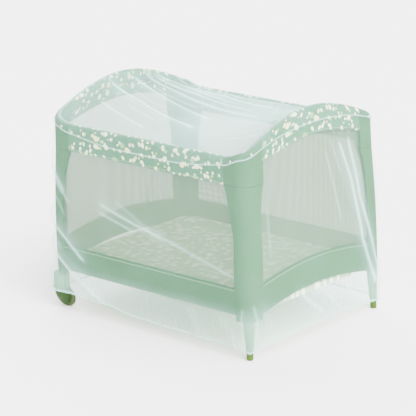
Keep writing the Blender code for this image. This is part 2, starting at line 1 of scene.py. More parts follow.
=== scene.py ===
"""Mosquito net on a folding playpen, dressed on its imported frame.

Each soft solid of the frame is replaced by a finer piece of the same shape: padded rails and posts,
mesh windows, mat and the see-through net with its creases, seam and gathered hem. Legs, feet and wheels
stay as they are and get a moulded finish. Metres, X along the length, Y across, Z up, wheels at the -X
end.
"""

import math

import bpy
import numpy as np
from mathutils import Matrix, Vector, noise


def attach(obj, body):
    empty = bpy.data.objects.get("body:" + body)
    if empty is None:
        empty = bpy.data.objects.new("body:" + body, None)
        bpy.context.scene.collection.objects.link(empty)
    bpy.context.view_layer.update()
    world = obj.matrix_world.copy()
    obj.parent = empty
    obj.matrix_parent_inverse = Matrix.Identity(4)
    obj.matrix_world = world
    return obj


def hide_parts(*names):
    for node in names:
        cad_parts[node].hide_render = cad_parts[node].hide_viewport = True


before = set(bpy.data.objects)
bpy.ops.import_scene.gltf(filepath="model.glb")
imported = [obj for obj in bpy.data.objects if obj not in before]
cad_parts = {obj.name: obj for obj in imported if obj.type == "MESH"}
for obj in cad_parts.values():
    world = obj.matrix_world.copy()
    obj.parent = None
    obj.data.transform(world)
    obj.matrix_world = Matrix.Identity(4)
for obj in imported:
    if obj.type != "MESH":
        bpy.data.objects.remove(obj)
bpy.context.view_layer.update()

bl_info = {
    "name": "Playpen with mosquito net",
    "version": (1, 0, 0),
    "blender": (4, 5, 0),
    "location": "View3D > Sidebar > Playpen",
    "description": "Builds the padding, the mat and the fine net of a folding playpen",
    "category": "Add Mesh",
}

BODY = "root"
PHOTO_PIXELS = 416

# The frame's own sizes, which its soft pieces follow
HALF_LENGTH, HALF_WIDTH = 0.500, 0.376
CORNER_RADIUS = 0.055
RIM_HEIGHT = 0.782
SPLAY = 0.018
GAP = 0.0003
LONG_RAIL_TOP, LONG_RAIL_LOW = 0.760, 0.655
ARCH_RISE = 0.100
END_RAIL_LOW, END_RAIL_LOW_RISE = 0.705, 0.072
ROLL_RADIUS, ROLL_DEPTH, STEP_DEPTH = 0.015, 0.040, 0.055
COVER_THICKNESS = 0.012
CORNER_PIECE_LONG, CORNER_PIECE_SHORT = 0.106, 0.100
RIM_RISE_START = 0.400
POST_CHAMFER = 0.048
POST_LOW = 0.150
BAND_LOW, BAND_TOP = 0.172, 0.273
END_BAND_LOW, END_BAND_LOW_RISE = 0.155, 0.055
END_BAND_TOP, END_BAND_TOP_RISE = 0.270, 0.047
POST_AT_BAND_LONG, POST_AT_BAND_SHORT = 0.066, 0.078
WINDOW_OVERLAP = 0.015
WINDOW_HALF_LONG, WINDOW_HALF_SHORT = 0.4445, 0.318
WINDOW_INSET = 0.0130
MAT_LOW, MAT_TOP = 0.178, 0.202
NET_ROLL_RADIUS = 0.0180
NET_CREST_RADIUS = 0.0164
NET_SAG = 0.012
ARCH_FADE = 2.1
SEAM_DROP_CORNER, SEAM_DROP_SIDE, SEAM_DROP_REACH = 0.022, 0.056, 0.36
TOP_FOLD_FADE = 0.06
RIM_LENGTH = 4 * (HALF_LENGTH + HALF_WIDTH)
CORNER_CUT = CORNER_RADIUS * (1 - math.sqrt(0.5))

POST_WIDTHS = (
    # height, width on the long side, width on the short side
    (POST_LOW, POST_AT_BAND_LONG, POST_AT_BAND_SHORT),
    (0.300, POST_AT_BAND_LONG, POST_AT_BAND_SHORT),
    (0.450, 0.063, 0.078),
    (0.550, 0.075, 0.080),
    (0.610, 0.092, 0.087),
    (LONG_RAIL_LOW - GAP, CORNER_PIECE_LONG, CORNER_PIECE_SHORT),
)

SKIRT_SECTIONS = (
    # height, how far the net stands off the playpen's side, corner radius
    (0.026, -0.0145, 0.018),
    (0.045, -0.0100, 0.024),
    (0.083, -0.0040, 0.035),
    (0.120, 0.0020, 0.046),
    (0.170, 0.0065, 0.056),
    (0.280, 0.0090, 0.060),
    (0.400, 0.0120, 0.060),
    (0.550, 0.0110, 0.060),
    (0.680, 0.0065, 0.058),
    (0.780, 0.0045, 0.058),
)

# Places on the skirt are measured along the rim: 0 at the near plain-footed corner (+X, -Y), negative along
# the front to -1.0 at the wheel corner, positive along the +X end to 0.752 and then along the back.
HEM_HEIGHTS = (
    # place, height
    (-1.000, 0.083),
    (-0.930, 0.077),
    (-0.730, 0.073),
    (-0.570, 0.050),
    (-0.400, 0.045),
    (-0.100, 0.043),
    (0.000, 0.026),
    (0.110, 0.038),
    (0.350, 0.046),
    (0.500, 0.049),
    (0.650, 0.038),
    (0.752, 0.028),
    (0.860, 0.040),
    (1.200, 0.046),
    (1.480, 0.060),
    (1.680, 0.076),
    (1.752, 0.083),
    (1.860, 0.077),
    (2.128, 0.066),
    (2.400, 0.077),
    (2.504, 0.083),
)

SKIRT_FOLDS = (
    # place and height of one end, place and height of the other, how far it stands out, half width, density
    (-1.000, 0.175, -1.000, 0.060, 0.0200, 0.058, 0.00),
    (1.752, 0.175, 1.752, 0.060, 0.0200, 0.058, 0.00),
    (-1.020, 0.640, -0.905, 0.500, 0.0050, 0.028, 0.05),
    (-1.020, 0.420, -0.815, 0.236, 0.0070, 0.030, 0.08),
    (-1.010, 0.300, -0.730, 0.080, 0.0100, 0.030, 0.10),
    (-0.720, 0.480, -0.400, 0.400, 0.0045, 0.032, 0.05),
    (-0.300, 0.170, -0.260, 0.050, 0.0070, 0.030, 0.04),
    (-0.150, 0.160, -0.090, 0.045, 0.0080, 0.028, 0.04),
    (0.060, 0.210, 0.150, 0.045, 0.0090, 0.028, 0.04),
    (0.261, 0.204, 0.400, 0.080, 0.0080, 0.028, 0.06),
    (0.365, 0.203, 0.490, 0.070, 0.0060, 0.026, 0.06),
    (0.519, 0.714, 0.619, 0.309, 0.0055, 0.026, 0.08),
    (0.619, 0.309, 0.682, 0.123, 0.0070, 0.024, 0.08),
    (0.570, 0.690, 0.665, 0.314, 0.0050, 0.024, 0.08),
    (0.665, 0.314, 0.712, 0.090, 0.0060, 0.024, 0.08),
    (0.950, 0.420, 0.800, 0.180, 0.0070, 0.030, 0.06),
    (1.150, 0.170, 1.080, 0.045, 0.0080, 0.030, 0.04),
    (1.400, 0.180, 1.460, 0.060, 0.0070, 0.030, 0.04),
    (1.700, 0.520, 1.560, 0.300, 0.0060, 0.030, 0.06),
    (1.880, 0.500, 1.990, 0.260, 0.0050, 0.030, 0.06),
    (2.230, 0.180, 2.300, 0.070, 0.0070, 0.030, 0.04),
)

SKIRT_CREASES = (
    # the same columns: narrow creases, most of them on the crest of a fold
    (-1.015, 0.645, -0.905, 0.498, 0.0016, 0.0060, 0.30),
    (-0.970, 0.556, -0.885, 0.458, 0.0014, 0.0055, 0.26),
    (-1.020, 0.411, -0.915, 0.320, 0.0018, 0.0060, 0.34),
    (-0.915, 0.320, -0.812, 0.234, 0.0018, 0.0055, 0.34),
    (-1.020, 0.300, -0.885, 0.181, 0.0024, 0.0065, 0.42),
    (-0.885, 0.181, -0.728, 0.086, 0.0022, 0.0060, 0.42),
    (-0.985, 0.520, -0.905, 0.400, 0.0010, 0.0045, 0.16),
    (-1.000, 0.360, -0.930, 0.265, 0.0010, 0.0045, 0.16),
    (-0.717, 0.479, -0.532, 0.431, 0.0014, 0.0055, 0.28),
    (-0.532, 0.431, -0.403, 0.405, 0.0014, 0.0055, 0.28),
    (-0.403, 0.405, -0.069, 0.320, 0.0012, 0.0050, 0.22),
    (-0.720, 0.444, -0.552, 0.403, 0.0012, 0.0050, 0.22),
    (-0.640, 0.505, -0.380, 0.380, 0.0008, 0.0045, 0.12),
    (0.519, 0.714, 0.563, 0.572, 0.0018, 0.0060, 0.34),
    (0.563, 0.572, 0.619, 0.309, 0.0020, 0.0060, 0.40),
    (0.619, 0.309, 0.682, 0.123, 0.0020, 0.0055, 0.36),
    (0.570, 0.723, 0.611, 0.479, 0.0018, 0.0060, 0.36),
    (0.611, 0.479, 0.665, 0.314, 0.0018, 0.0055, 0.38),
    (0.665, 0.314, 0.700, 0.171, 0.0018, 0.0055, 0.34),
    (0.700, 0.171, 0.712, 0.090, 0.0014, 0.0050, 0.28),
    (0.440, 0.700, 0.505, 0.420, 0.0008, 0.0045, 0.14),
    (0.470, 0.735, 0.520, 0.600, 0.0008, 0.0045, 0.14),
    (0.105, 0.560, 0.118, 0.380, 0.0008, 0.0050, 0.10),
    (0.261, 0.204, 0.330, 0.140, 0.0016, 0.0055, 0.26),
    (0.330, 0.140, 0.400, 0.086, 0.0016, 0.0055, 0.30),
    (0.365, 0.203, 0.430, 0.135, 0.0014, 0.0050, 0.24),
    (0.430, 0.135, 0.490, 0.077, 0.0014, 0.0050, 0.28),
    (0.524, 0.161, 0.581, 0.085, 0.0014, 0.0055, 0.30),
    (0.560, 0.170, 0.610, 0.100, 0.0010, 0.0050, 0.18),
    (-0.030, 0.200, -0.055, 0.070, 0.0010, 0.0050, 0.14),
    (0.020, 0.215, 0.060, 0.080, 0.0012, 0.0050, 0.18),
    (0.950, 0.420, 0.870, 0.290, 0.0018, 0.0060, 0.32),
    (0.870, 0.290, 0.800, 0.180, 0.0018, 0.0055, 0.32),
    (1.240, 0.560, 1.420, 0.470, 0.0012, 0.0050, 0.22),
    (1.720, 0.540, 1.630, 0.410, 0.0018, 0.0060, 0.32),
    (1.630, 0.410, 1.560, 0.300, 0.0018, 0.0055, 0.32),
    (1.880, 0.520, 1.940, 0.370, 0.0016, 0.0060, 0.30),
    (1.940, 0.370, 1.990, 0.260, 0.0016, 0.0055, 0.30),
    (2.260, 0.600, 2.230, 0.440, 0.0010, 0.0050, 0.18),
)

TOP_FOLDS = (
    # one end in plan, the other end in plan, height, half width, density
    (-0.450, -0.080, 0.060, -0.170, 0.0085, 0.026, 0.06),
    (-0.430, 0.045, 0.030, -0.050, 0.0080, 0.026, 0.06),
    (-0.400, -0.190, -0.100, -0.270, 0.0060, 0.026, 0.03),
    (-0.420, 0.200, -0.140, 0.250, 0.0090, 0.032, 0.10),
    (-0.450, 0.140, 0.150, 0.080, 0.0055, 0.028, 0.06),
    (0.430, -0.120, 0.120, -0.200, 0.0055, 0.028, 0.03),
    (0.440, 0.060, 0.100, 0.020, 0.0060, 0.028, 0.03),
    (0.430, 0.210, 0.140, 0.190, 0.0050, 0.028, 0.03),
)

TOP_CREASES = (
    # the same columns: narrow creases, drawn tight from the far arch across the sag
    (-0.455, -0.076, -0.307, -0.070, 0.0022, 0.0060, 0.38),
    (-0.307, -0.070, -0.121, -0.118, 0.0022, 0.0060, 0.40),
    (-0.121, -0.118, 0.055, -0.170, 0.0018, 0.0055, 0.34),
    (-0.440, 0.046, -0.304, 0.036, 0.0022, 0.0060, 0.38),
    (-0.304, 0.036, -0.177, 0.012, 0.0022, 0.0060, 0.38),
    (-0.177, 0.012, 0.020, -0.048, 0.0018, 0.0055, 0.32),
    (-0.458, 0.120, -0.300, 0.128, 0.0016, 0.0055, 0.26),
    (-0.300, 0.128, -0.020, 0.085, 0.0016, 0.0060, 0.28),
    (-0.020, 0.085, 0.180, 0.060, 0.0012, 0.0055, 0.22),
    (-0.458, 0.180, -0.390, 0.232, 0.0020, 0.0070, 0.36),
    (-0.390, 0.232, -0.156, 0.258, 0.0022, 0.0075, 0.40),
    (-0.156, 0.258, 0.100, 0.245, 0.0016, 0.0060, 0.30),
    (-0.450, 0.165, -0.250, 0.190, 0.0016, 0.0060, 0.30),
    (-0.250, 0.190, 0.050, 0.160, 0.0014, 0.0055, 0.26),
    (-0.470, 0.300, -0.266, 0.322, 0.0018, 0.0055, 0.34),
    (-0.266, 0.322, -0.100, 0.300, 0.0018, 0.0055, 0.34),
    (-0.100, 0.300, 0.100, 0.322, 0.0014, 0.0050, 0.26),
    (-0.400, -0.190, -0.250, -0.222, 0.0014, 0.0055, 0.22),
    (-0.250, -0.222, -0.100, -0.270, 0.0014, 0.0055, 0.22),
    (-0.380, -0.020, -0.180, -0.045, 0.0010, 0.0045, 0.16),
    (-0.360, 0.080, -0.120, 0.055, 0.0010, 0.0045, 0.18),
    (-0.330, 0.215, -0.060, 0.215, 0.0010, 0.0045, 0.20),
    (-0.320, -0.130, -0.140, -0.170, 0.0010, 0.0045, 0.14),
    (0.452, -0.180, 0.300, -0.235, 0.0012, 0.0050, 0.20),
    (0.455, 0.020, 0.300, 0.000, 0.0012, 0.0055, 0.18),
    (0.450, 0.160, 0.320, 0.170, 0.0012, 0.0055, 0.18),
)

CORNERS = ((1, -1), (1, 1), (-1, 1), (-1, -1))

SIDES = (
    # length, place of its start, direction that it faces in degrees
    (2 * HALF_LENGTH, -2 * HALF_LENGTH, -90),
    (2 * HALF_WIDTH, 0.0, 0),
    (2 * HALF_LENGTH, 2 * HALF_WIDTH, 90),
    (2 * HALF_WIDTH, 2 * (HALF_LENGTH + HALF_WIDTH), 180),
)

SNAPS = (
    # x, y, z and direction that the snap faces in degrees
    (0.4320, -0.3765, 0.7480, -90),
    (0.5005, -0.3360, 0.7760, 0),
    (0.5005, 0.3330, 0.7740, 0),
    (0.4320, 0.3765, 0.7480, 90),
    (-0.4320, 0.3765, 0.7480, 90),
    (-0.5005, 0.3360, 0.7760, 180),
    (-0.5005, -0.3360, 0.7760, 180),
    (-0.4320, -0.3765, 0.7480, -90),
)


# Settings that a user would change


class PlaypenNet(bpy.types.PropertyGroup):
    """Fine net."""

    spacing: bpy.props.FloatProperty(
        name="Point spacing", description="Distance between the points of the net's mesh", default=0.0060,
        min=0.004, max=0.03, subtype="DISTANCE", unit="LENGTH")
    # The thread is white: the blue-green tint of this colour is a painted reflection of the sky, used by
    # every net material
    colour: bpy.props.FloatVectorProperty(
        name="Colour", description="Colour of the net's thread", default=(0.52, 0.90, 0.82), size=3,
        min=0.0, max=1.0, subtype="COLOR")
    side_cover: bpy.props.FloatProperty(
        name="Side cover", description="How much the hanging net hides of what is behind it", default=0.07,
        min=0.0, max=1.0, subtype="FACTOR")
    top_cover: bpy.props.FloatProperty(
        name="Top cover", description="How much the top panel hides of what is below it", default=0.20,
        min=0.0, max=1.0, subtype="FACTOR")
    gather: bpy.props.FloatProperty(
        name="Gather depth", description="Depth of the small gathers that the hem's elastic draws in",
        default=0.0012, min=0.0, max=0.004, subtype="DISTANCE", unit="LENGTH")
    hem_width: bpy.props.FloatProperty(
        name="Hem width", description="Width of the turned hem", default=0.010, min=0.004, max=0.02,
        subtype="DISTANCE", unit="LENGTH")
    seam_width: bpy.props.FloatProperty(
        name="Seam width", description="Width of the binding between the top panel and the skirt",
        default=0.006, min=0.003, max=0.015, subtype="DISTANCE", unit="LENGTH")


class PlaypenPadding(bpy.types.PropertyGroup):
    """Padded fabric of the playpen."""

    ground: bpy.props.FloatVectorProperty(
        name="Print ground", description="Ground colour of the printed rails", default=(0.045, 0.160, 0.075),
        size=3, min=0.0, max=1.0, subtype="COLOR")
    plain: bpy.props.FloatVectorProperty(
        name="Plain fabric", description="Colour of the plain posts, corners and bands",
        default=(0.020, 0.100, 0.024), size=3, min=0.0, max=1.0, subtype="COLOR")
    pucker: bpy.props.FloatProperty(
        name="Pucker", description="Depth of the fabric's small hollows over its padding", default=0.0012,
        min=0.0, max=0.004, subtype="DISTANCE", unit="LENGTH")
    stitch: bpy.props.FloatProperty(
        name="Stitch spacing", description="Distance from one stitch to the next", default=0.006,
        min=0.003, max=0.02, subtype="DISTANCE", unit="LENGTH")


class PlaypenStage(bpy.types.PropertyGroup):
    """Floor and light."""

    floor: bpy.props.FloatVectorProperty(
        name="Floor", description="Colour of the floor", default=(0.93, 0.93, 0.93), size=3, min=0.0,
        max=1.0, subtype="COLOR")
    key: bpy.props.FloatProperty(
        name="Key light", description="Strength of the large soft light", default=11.0, min=0.0)
    ambient: bpy.props.FloatProperty(
        name="Ambient", description="Strength of the light from all round", default=1.2, min=0.0)


# Helpers


def linear(hex_colour):
    """Turn an sRGB hex colour into linear red, green, blue and alpha."""
    parts = [int(hex_colour[k:k + 2], 16) / 255 for k in (1, 3, 5)]
    return tuple(c / 12.92 if c <= 0.04045 else ((c + 0.055) / 1.055) ** 2.4 for c in parts) + (1.0,)


def put(tree, kind, inputs=None, **settings):
    """Add a node with its settings; inputs holds a value or an output socket for each input socket."""
    node = tree.nodes.new(kind)
    for key, value in settings.items():
        setattr(node, key, value)
    for key, value in (inputs or {}).items():
        if isinstance(value, bpy.types.NodeSocket):
            tree.links.new(value, node.inputs[key])
        else:
            node.inputs[key].default_value = value
    return node


def new_material(name, **values):
    """Material with one Principled shader; values are its sockets, with _ for a space."""
    material = bpy.data.materials.new(name)
    material.use_nodes = True
    shader = material.node_tree.nodes["Principled BSDF"]
    for key, value in values.items():
        shader.inputs[key.replace("_", " ")].default_value = value
    return material, material.node_tree, shader


def smooth_step(t):
    t = np.clip(t, 0.0, 1.0)
    return t * t * (3 - 2 * t)


def table_value(rows, key, column):
    """Read a column of a table between its rows, eased so that the curve has no corner."""
    key = np.asarray(key, float)
    found = np.full(key.shape, float(rows[0][column]))
    for low, high in zip(rows, rows[1:]):
        share = smooth_step((key - low[0]) / (high[0] - low[0]))
        found = np.where(key > low[0], low[column] + share * (high[column] - low[column]), found)
    return found


def stand_wider(points):
    """Lean the upright drawing outwards, by SPLAY at the floor and nothing at the rim."""
    points = np.array(points, float)
    share = SPLAY * (1 - points[..., 2] / RIM_HEIGHT)
    points[..., 0] *= 1 + share / HALF_LENGTH
    points[..., 1] *= 1 + share / HALF_WIDTH
    return points


def long_rim(x):
    rise = (np.abs(x) - RIM_RISE_START) / (HALF_LENGTH - CORNER_CUT - RIM_RISE_START)
    return LONG_RAIL_TOP + (RIM_HEIGHT - LONG_RAIL_TOP) * smooth_step(rise)


def arch(y):
    return np.cos(math.pi / 2 * np.minimum(1.0, np.abs(y) / (HALF_WIDTH - CORNER_CUT)))


def stations(number, distances):
    """Stations of a side: corner shares in x and y, outward direction in x and y, place, long side or end."""
    length, start, facing = SIDES[number]
    first, last = CORNERS[(number + 3) % 4], CORNERS[number]
    distances = np.asarray(distances, float)
    share = np.clip((distances - CORNER_RADIUS) / (length - 2 * CORNER_RADIUS), 0, 1)
    turn = np.maximum(0, distances - length + CORNER_RADIUS) - np.maximum(0, CORNER_RADIUS - distances)
    angle = np.radians(facing + 45 * turn / CORNER_RADIUS)
    return np.stack([
        first[0] + share * (last[0] - first[0]),
        first[1] + share * (last[1] - first[1]),
        np.cos(angle),
        np.sin(angle),
        start + distances,
        np.full(distances.shape, float(number % 2)),
    ], axis=-1)


def ring_point(place, stand_off, radius):
    """Plan points of a rounded rectangle that stands off the playpen's sides."""
    x = place[..., 0] * (HALF_LENGTH + stand_off - radius) + radius * place[..., 2]
    y = place[..., 1] * (HALF_WIDTH + stand_off - radius) + radius * place[..., 3]
    return x, y


def station_rim(place):
    x, y = ring_point(place, 0.0, CORNER_RADIUS)
    return np.where(place[..., 5] > 0.5, RIM_HEIGHT + ARCH_RISE * arch(y), long_rim(x))


def seam_height(place):
    """The top panel is cut straight, so its seam lies nearer the rim at the corners."""
    along = place[..., 4] % RIM_LENGTH
    away = np.full(along.shape, RIM_LENGTH)
    for corner in (0.0, 0.752, 1.752, 2.504, RIM_LENGTH):
        away = np.minimum(away, np.abs(along - corner))
    drop = SEAM_DROP_CORNER + (SEAM_DROP_SIDE - SEAM_DROP_CORNER) * smooth_step(away / SEAM_DROP_REACH)
    return station_rim(place) - drop


def fold_sum(a, b, rows, wrap):
    """Height and density that a table of folds adds at the points a, b."""
    height = np.zeros(a.shape)
    density = np.zeros(a.shape)
    for start, low, end, high, out, half_width, dense in rows:
        across = a - start
        if wrap:
            across = (across + RIM_LENGTH / 2) % RIM_LENGTH - RIM_LENGTH / 2
        run, rise = end - start, high - low
        share = np.clip((across * run + (b - low) * rise) / (run ** 2 + rise ** 2), 0, 1)
        away = np.hypot(across - share * run, b - low - share * rise)
        ends = smooth_step(np.minimum(share, 1 - share) * 5 + 0.5)
        bell = ends * np.exp(-(away / half_width) ** 2)
        height += out * bell
        density += dense * bell
    return height, density


def finish_mesh(name, verts, faces, material, nodes, uv=None, density=None, smooth=40):
    """Link a mesh object at the origin that rides on the body and stands for the given nodes."""
    mesh = bpy.data.meshes.new(name)
    mesh.from_pydata([tuple(v) for v in verts], [], [tuple(f) for f in faces])
    if uv is not None:
        layer = mesh.uv_layers.new(name="cloth")
        layer.data.foreach_set("uv", np.asarray(uv, np.float32).ravel())
    if density is not None:
        layer = mesh.attributes.new("layers_and_highlight", "FLOAT", "POINT")
        layer.data.foreach_set("value", np.asarray(density, np.float32).ravel())
    mesh.materials.append(material)
    mesh.shade_smooth()
    if smooth:
        mesh.set_sharp_from_angle(angle=math.radians(smooth))
    obj = bpy.data.objects.new(name, mesh)
    bpy.context.scene.collection.objects.link(obj)
    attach(obj, BODY)
    if nodes:
        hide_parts(*nodes)
    return obj


def lengths(points, axis):
    """Running length along an axis of a grid of points, averaged over the other axis."""
    steps = np.linalg.norm(np.diff(points, axis=axis), axis=2).mean(axis=1 - axis)
    return np.concatenate([[0.0], np.cumsum(steps)])


def tube_object(name, loops, material, nodes):
    """Skin a row of closed loops and cap its ends, with a UV map in metres along and round it."""
    loops = stand_wider(loops)
    rows, count = loops.shape[:2]
    along = lengths(loops, 0)
    round_it = lengths(np.concatenate([loops, loops[:, :1]], axis=1), 1)
    faces, uv = [], []
    for i in range(rows - 1):
        for k in range(count):
            near = (k + 1) % count
            faces.append((i * count + k, i * count + near, (i + 1) * count + near, (i + 1) * count + k))
            uv += [(along[i], round_it[k]), (along[i], round_it[k + 1]),
                   (along[i + 1], round_it[k + 1]), (along[i + 1], round_it[k])]
    for row, turned in ((0, True), (rows - 1, False)):
        cap = [row * count + k for k in range(count)]
        faces.append(tuple(cap[::-1] if turned else cap))
        uv += [(along[row], 0.0)] * count
    first = loops[0]
    spin = sum(np.cross(first[k] - first[0], first[(k + 1) % count] - first[0]) for k in range(count))
    if np.dot(spin, loops[1].mean(0) - loops[0].mean(0)) < 0:
        faces, turned_uv, at = [face[::-1] for face in faces], [], 0
        for face in faces:
            turned_uv += uv[at:at + len(face)][::-1]
            at += len(face)
        uv = turned_uv
    return finish_mesh(name, loops.reshape(-1, 3), faces, material, nodes, uv)


def sheet_mesh(name, points, uv, material, nodes, density=None, closed=False, outward=True):
    """Mesh of one layer of cloth from a grid of points; closed joins the last column to the first."""
    rows, count = points.shape[:2]
    faces, loops_uv = [], []
    for i in range(rows - 1):
        for k in range(count if closed else count - 1):
            near = (k + 1) % count
            face = [(i, k, k), (i, near, k + 1), (i + 1, near, k + 1), (i + 1, k, k)]
            if not outward:
                face = face[::-1]
            faces.append([row * count + column for row, column, _ in face])
            loops_uv += [uv[row, column] for row, _, column in face]
    return finish_mesh(name, points.reshape(-1, 3), faces, material, nodes, loops_uv, density, smooth=0)


# Materials

# Scale of a wave texture whose bands are one metre apart
WAVE_SCALE = 0.314


def weave_bump(tree, shader, place, pitch, strength):
    """Crossed threads as a bump, of the given pitch in metres."""
    waves = []
    for direction in ("X", "Y"):
        waves.append(put(tree, "ShaderNodeTexWave",
                         {"Vector": place, "Scale": WAVE_SCALE / pitch, "Distortion": 0.4},
                         bands_direction=direction).outputs["Fac"])
    crossed = put(tree, "ShaderNodeMath", {0: waves[0], 1: waves[1]}, operation="MULTIPLY").outputs[0]
    bump = put(tree, "ShaderNodeBump", {"Height": crossed, "Strength": strength, "Distance": pitch / 3})
    tree.links.new(bump.outputs["Normal"], shader.inputs["Normal"])


def oval_mask(tree, place, cell, reach, stretch, chance, seed):
    """Mask of ovals, at most one to a cell, each turned and sized at random."""
    moved = put(tree, "ShaderNodeVectorMath", {0: place, 1: (seed, seed * 0.7, 0.0)}, operation="ADD")
    scaled = put(tree, "ShaderNodeVectorMath", {0: moved.outputs[0], "Scale": 1 / cell}, operation="SCALE")
    cells = put(tree, "ShaderNodeTexVoronoi",
                {"Vector": scaled.outputs[0], "Scale": 1.0, "Randomness": 0.75}, voronoi_dimensions="2D")
    parts = put(tree, "ShaderNodeSeparateColor", {0: cells.outputs["Color"]}).outputs
    offset = put(tree, "ShaderNodeVectorMath", {0: scaled.outputs[0], 1: cells.outputs["Position"]},
                 operation="SUBTRACT")
    angle = put(tree, "ShaderNodeMath", {0: parts[0], 1: 2 * math.pi}, operation="MULTIPLY")
    turned = put(tree, "ShaderNodeVectorRotate", {"Vector": offset.outputs[0], "Angle": angle.outputs[0]},
                 rotation_type="Z_AXIS")
    squashed = put(tree, "ShaderNodeVectorMath", {0: turned.outputs[0], 1: (1.0, stretch, 0.0)},
                   operation="MULTIPLY")
    away = put(tree, "ShaderNodeVectorMath", {0: squashed.outputs[0]}, operation="LENGTH").outputs["Value"]
    size = put(tree, "ShaderNodeMapRange", {"Value": parts[1], 3: 0.6 * reach / cell, 4: reach / cell})
    inside = put(tree, "ShaderNodeMath", {0: size.outputs[0], 1: away}, operation="SUBTRACT").outputs[0]
    edge = put(tree, "ShaderNodeMapRange", {"Value": inside, 1: -0.01, 2: 0.02}).outputs[0]
    picked = put(tree, "ShaderNodeMath", {0: parts[2], 1: chance}, operation="LESS_THAN").outputs[0]
    return put(tree, "ShaderNodeMath", {0: edge, 1: picked}, operation="MULTIPLY").outputs[0]


def printed_fabric(name, ground, ovals, place_output, weave):
    """Printed cloth: a ground colour with tables of ovals laid over it, woven threads and uneven dye."""
    material, tree, shader = new_material(name, Roughness=0.9, Specular_IOR_Level=0.15)
    coordinates = put(tree, "ShaderNodeTexCoord")
    place = coordinates.outputs[place_output]
    cloud = put(tree, "ShaderNodeTexNoise", {"Vector": place, "Scale": 9.0, "Detail": 3.0})
    shade = put(tree, "ShaderNodeMapRange", {"Value": cloud.outputs["Fac"], 3: 0.92, 4: 1.06})
    colour = put(tree, "ShaderNodeVectorMath", {0: ground[:3], "Scale": shade.outputs[0]},
                 operation="SCALE").outputs[0]
    for number, (hex_colour, cell, reach, stretch, chance) in enumerate(ovals):
        mask = oval_mask(tree, place, cell, reach, stretch, chance, 3.7 * number + 1.3)
        colour = put(tree, "ShaderNodeMix", {0: mask, 6: colour, 7: linear(hex_colour)},
                     data_type="RGBA").outputs[2]
    tree.links.new(colour, shader.inputs["Base Color"])
    weave_bump(tree, shader, place, weave, 0.15)
    return material


def padded_print():
    # Cotton twill printed in flat colours over wadding: soft, with no shine and a faint diagonal thread
    return printed_fabric("Printed_Cotton_Twill", tuple(bpy.context.scene.playpen_padding.ground), (
        # colour, cell, longest half size, stretch, share of cells that hold one
        ("#4F7060", 0.030, 0.0075, 1.3, 0.60),
        ("#A9C878", 0.044, 0.0085, 1.5, 0.50),
        ("#C9B49C", 0.070, 0.0075, 1.6, 0.50),
        ("#DDE3B8", 0.033, 0.0100, 1.5, 0.80),
        ("#E4E6BC", 0.052, 0.0135, 1.4, 0.60),
        ("#7FA870", 0.120, 0.0185, 1.15, 0.60),
        ("#E6E08C", 0.120, 0.0135, 1.15, 0.60),
    ), "UV", 0.0016)


def mat_print():
    # The mat's own cover: a paler print of leaves on thin polyester, quilted flat
    return printed_fabric("Printed_Mat_Polyester", linear("#A9C498"), (
        ("#86A884", 0.034, 0.0110, 1.8, 0.60),
        ("#FBF8E4", 0.046, 0.0200, 1.9, 0.85),
        ("#FFFBE6", 0.070, 0.0240, 1.6, 0.50),
        ("#CFE08C", 0.060, 0.0130, 1.5, 0.40),
    ), "Object", 0.0016)


def plain_nylon():
    """Plain woven nylon, dyed green."""
    # Tightly woven nylon oxford over thin wadding: a slight satin shine, and a thread of about 0.6 mm
    material, tree, shader = new_material("Plain_Nylon_Oxford", Roughness=0.7, Specular_IOR_Level=0.2)
    place = put(tree, "ShaderNodeTexCoord").outputs["UV"]
    cloud = put(tree, "ShaderNodeTexNoise", {"Vector": place, "Scale": 7.0, "Detail": 4.0})
    shade = put(tree, "ShaderNodeMapRange", {"Value": cloud.outputs["Fac"], 3: 0.88, 4: 1.10})
    colour = put(tree, "ShaderNodeVectorMath",
                 {0: tuple(bpy.context.scene.playpen_padding.plain), "Scale": shade.outputs[0]},
                 operation="SCALE")
    tree.links.new(colour.outputs[0], shader.inputs["Base Color"])
    weave_bump(tree, shader, place, 0.0014, 0.15)
    return material


def mesh_fabric():
    """Knitted window mesh with see-through holes."""
    # Warp-knitted polyester mesh. Its holes are 1.5 mm apart, drawn 3 mm apart so that they show
    material, tree, shader = new_material("Knitted_Window_Mesh", Base_Color=linear("#5A7453"), Roughness=0.85,
                                          Specular_IOR_Level=0.2)
    place = put(tree, "ShaderNodeTexCoord").outputs["UV"]
    waves = []
    for direction in ("X", "Y"):
        waves.append(put(tree, "ShaderNodeTexWave", {"Vector": place, "Scale": WAVE_SCALE / 0.003},
                         bands_direction=direction).outputs["Fac"])
    hole = put(tree, "ShaderNodeMath", {0: waves[0], 1: waves[1]}, operation="MULTIPLY").outputs[0]
    cover = put(tree, "ShaderNodeMapRange", {"Value": hole, 1: 0.10, 2: 0.60, 3: 0.85, 4: 0.38})
    tree.links.new(cover.outputs[0], shader.inputs["Alpha"])
    return material


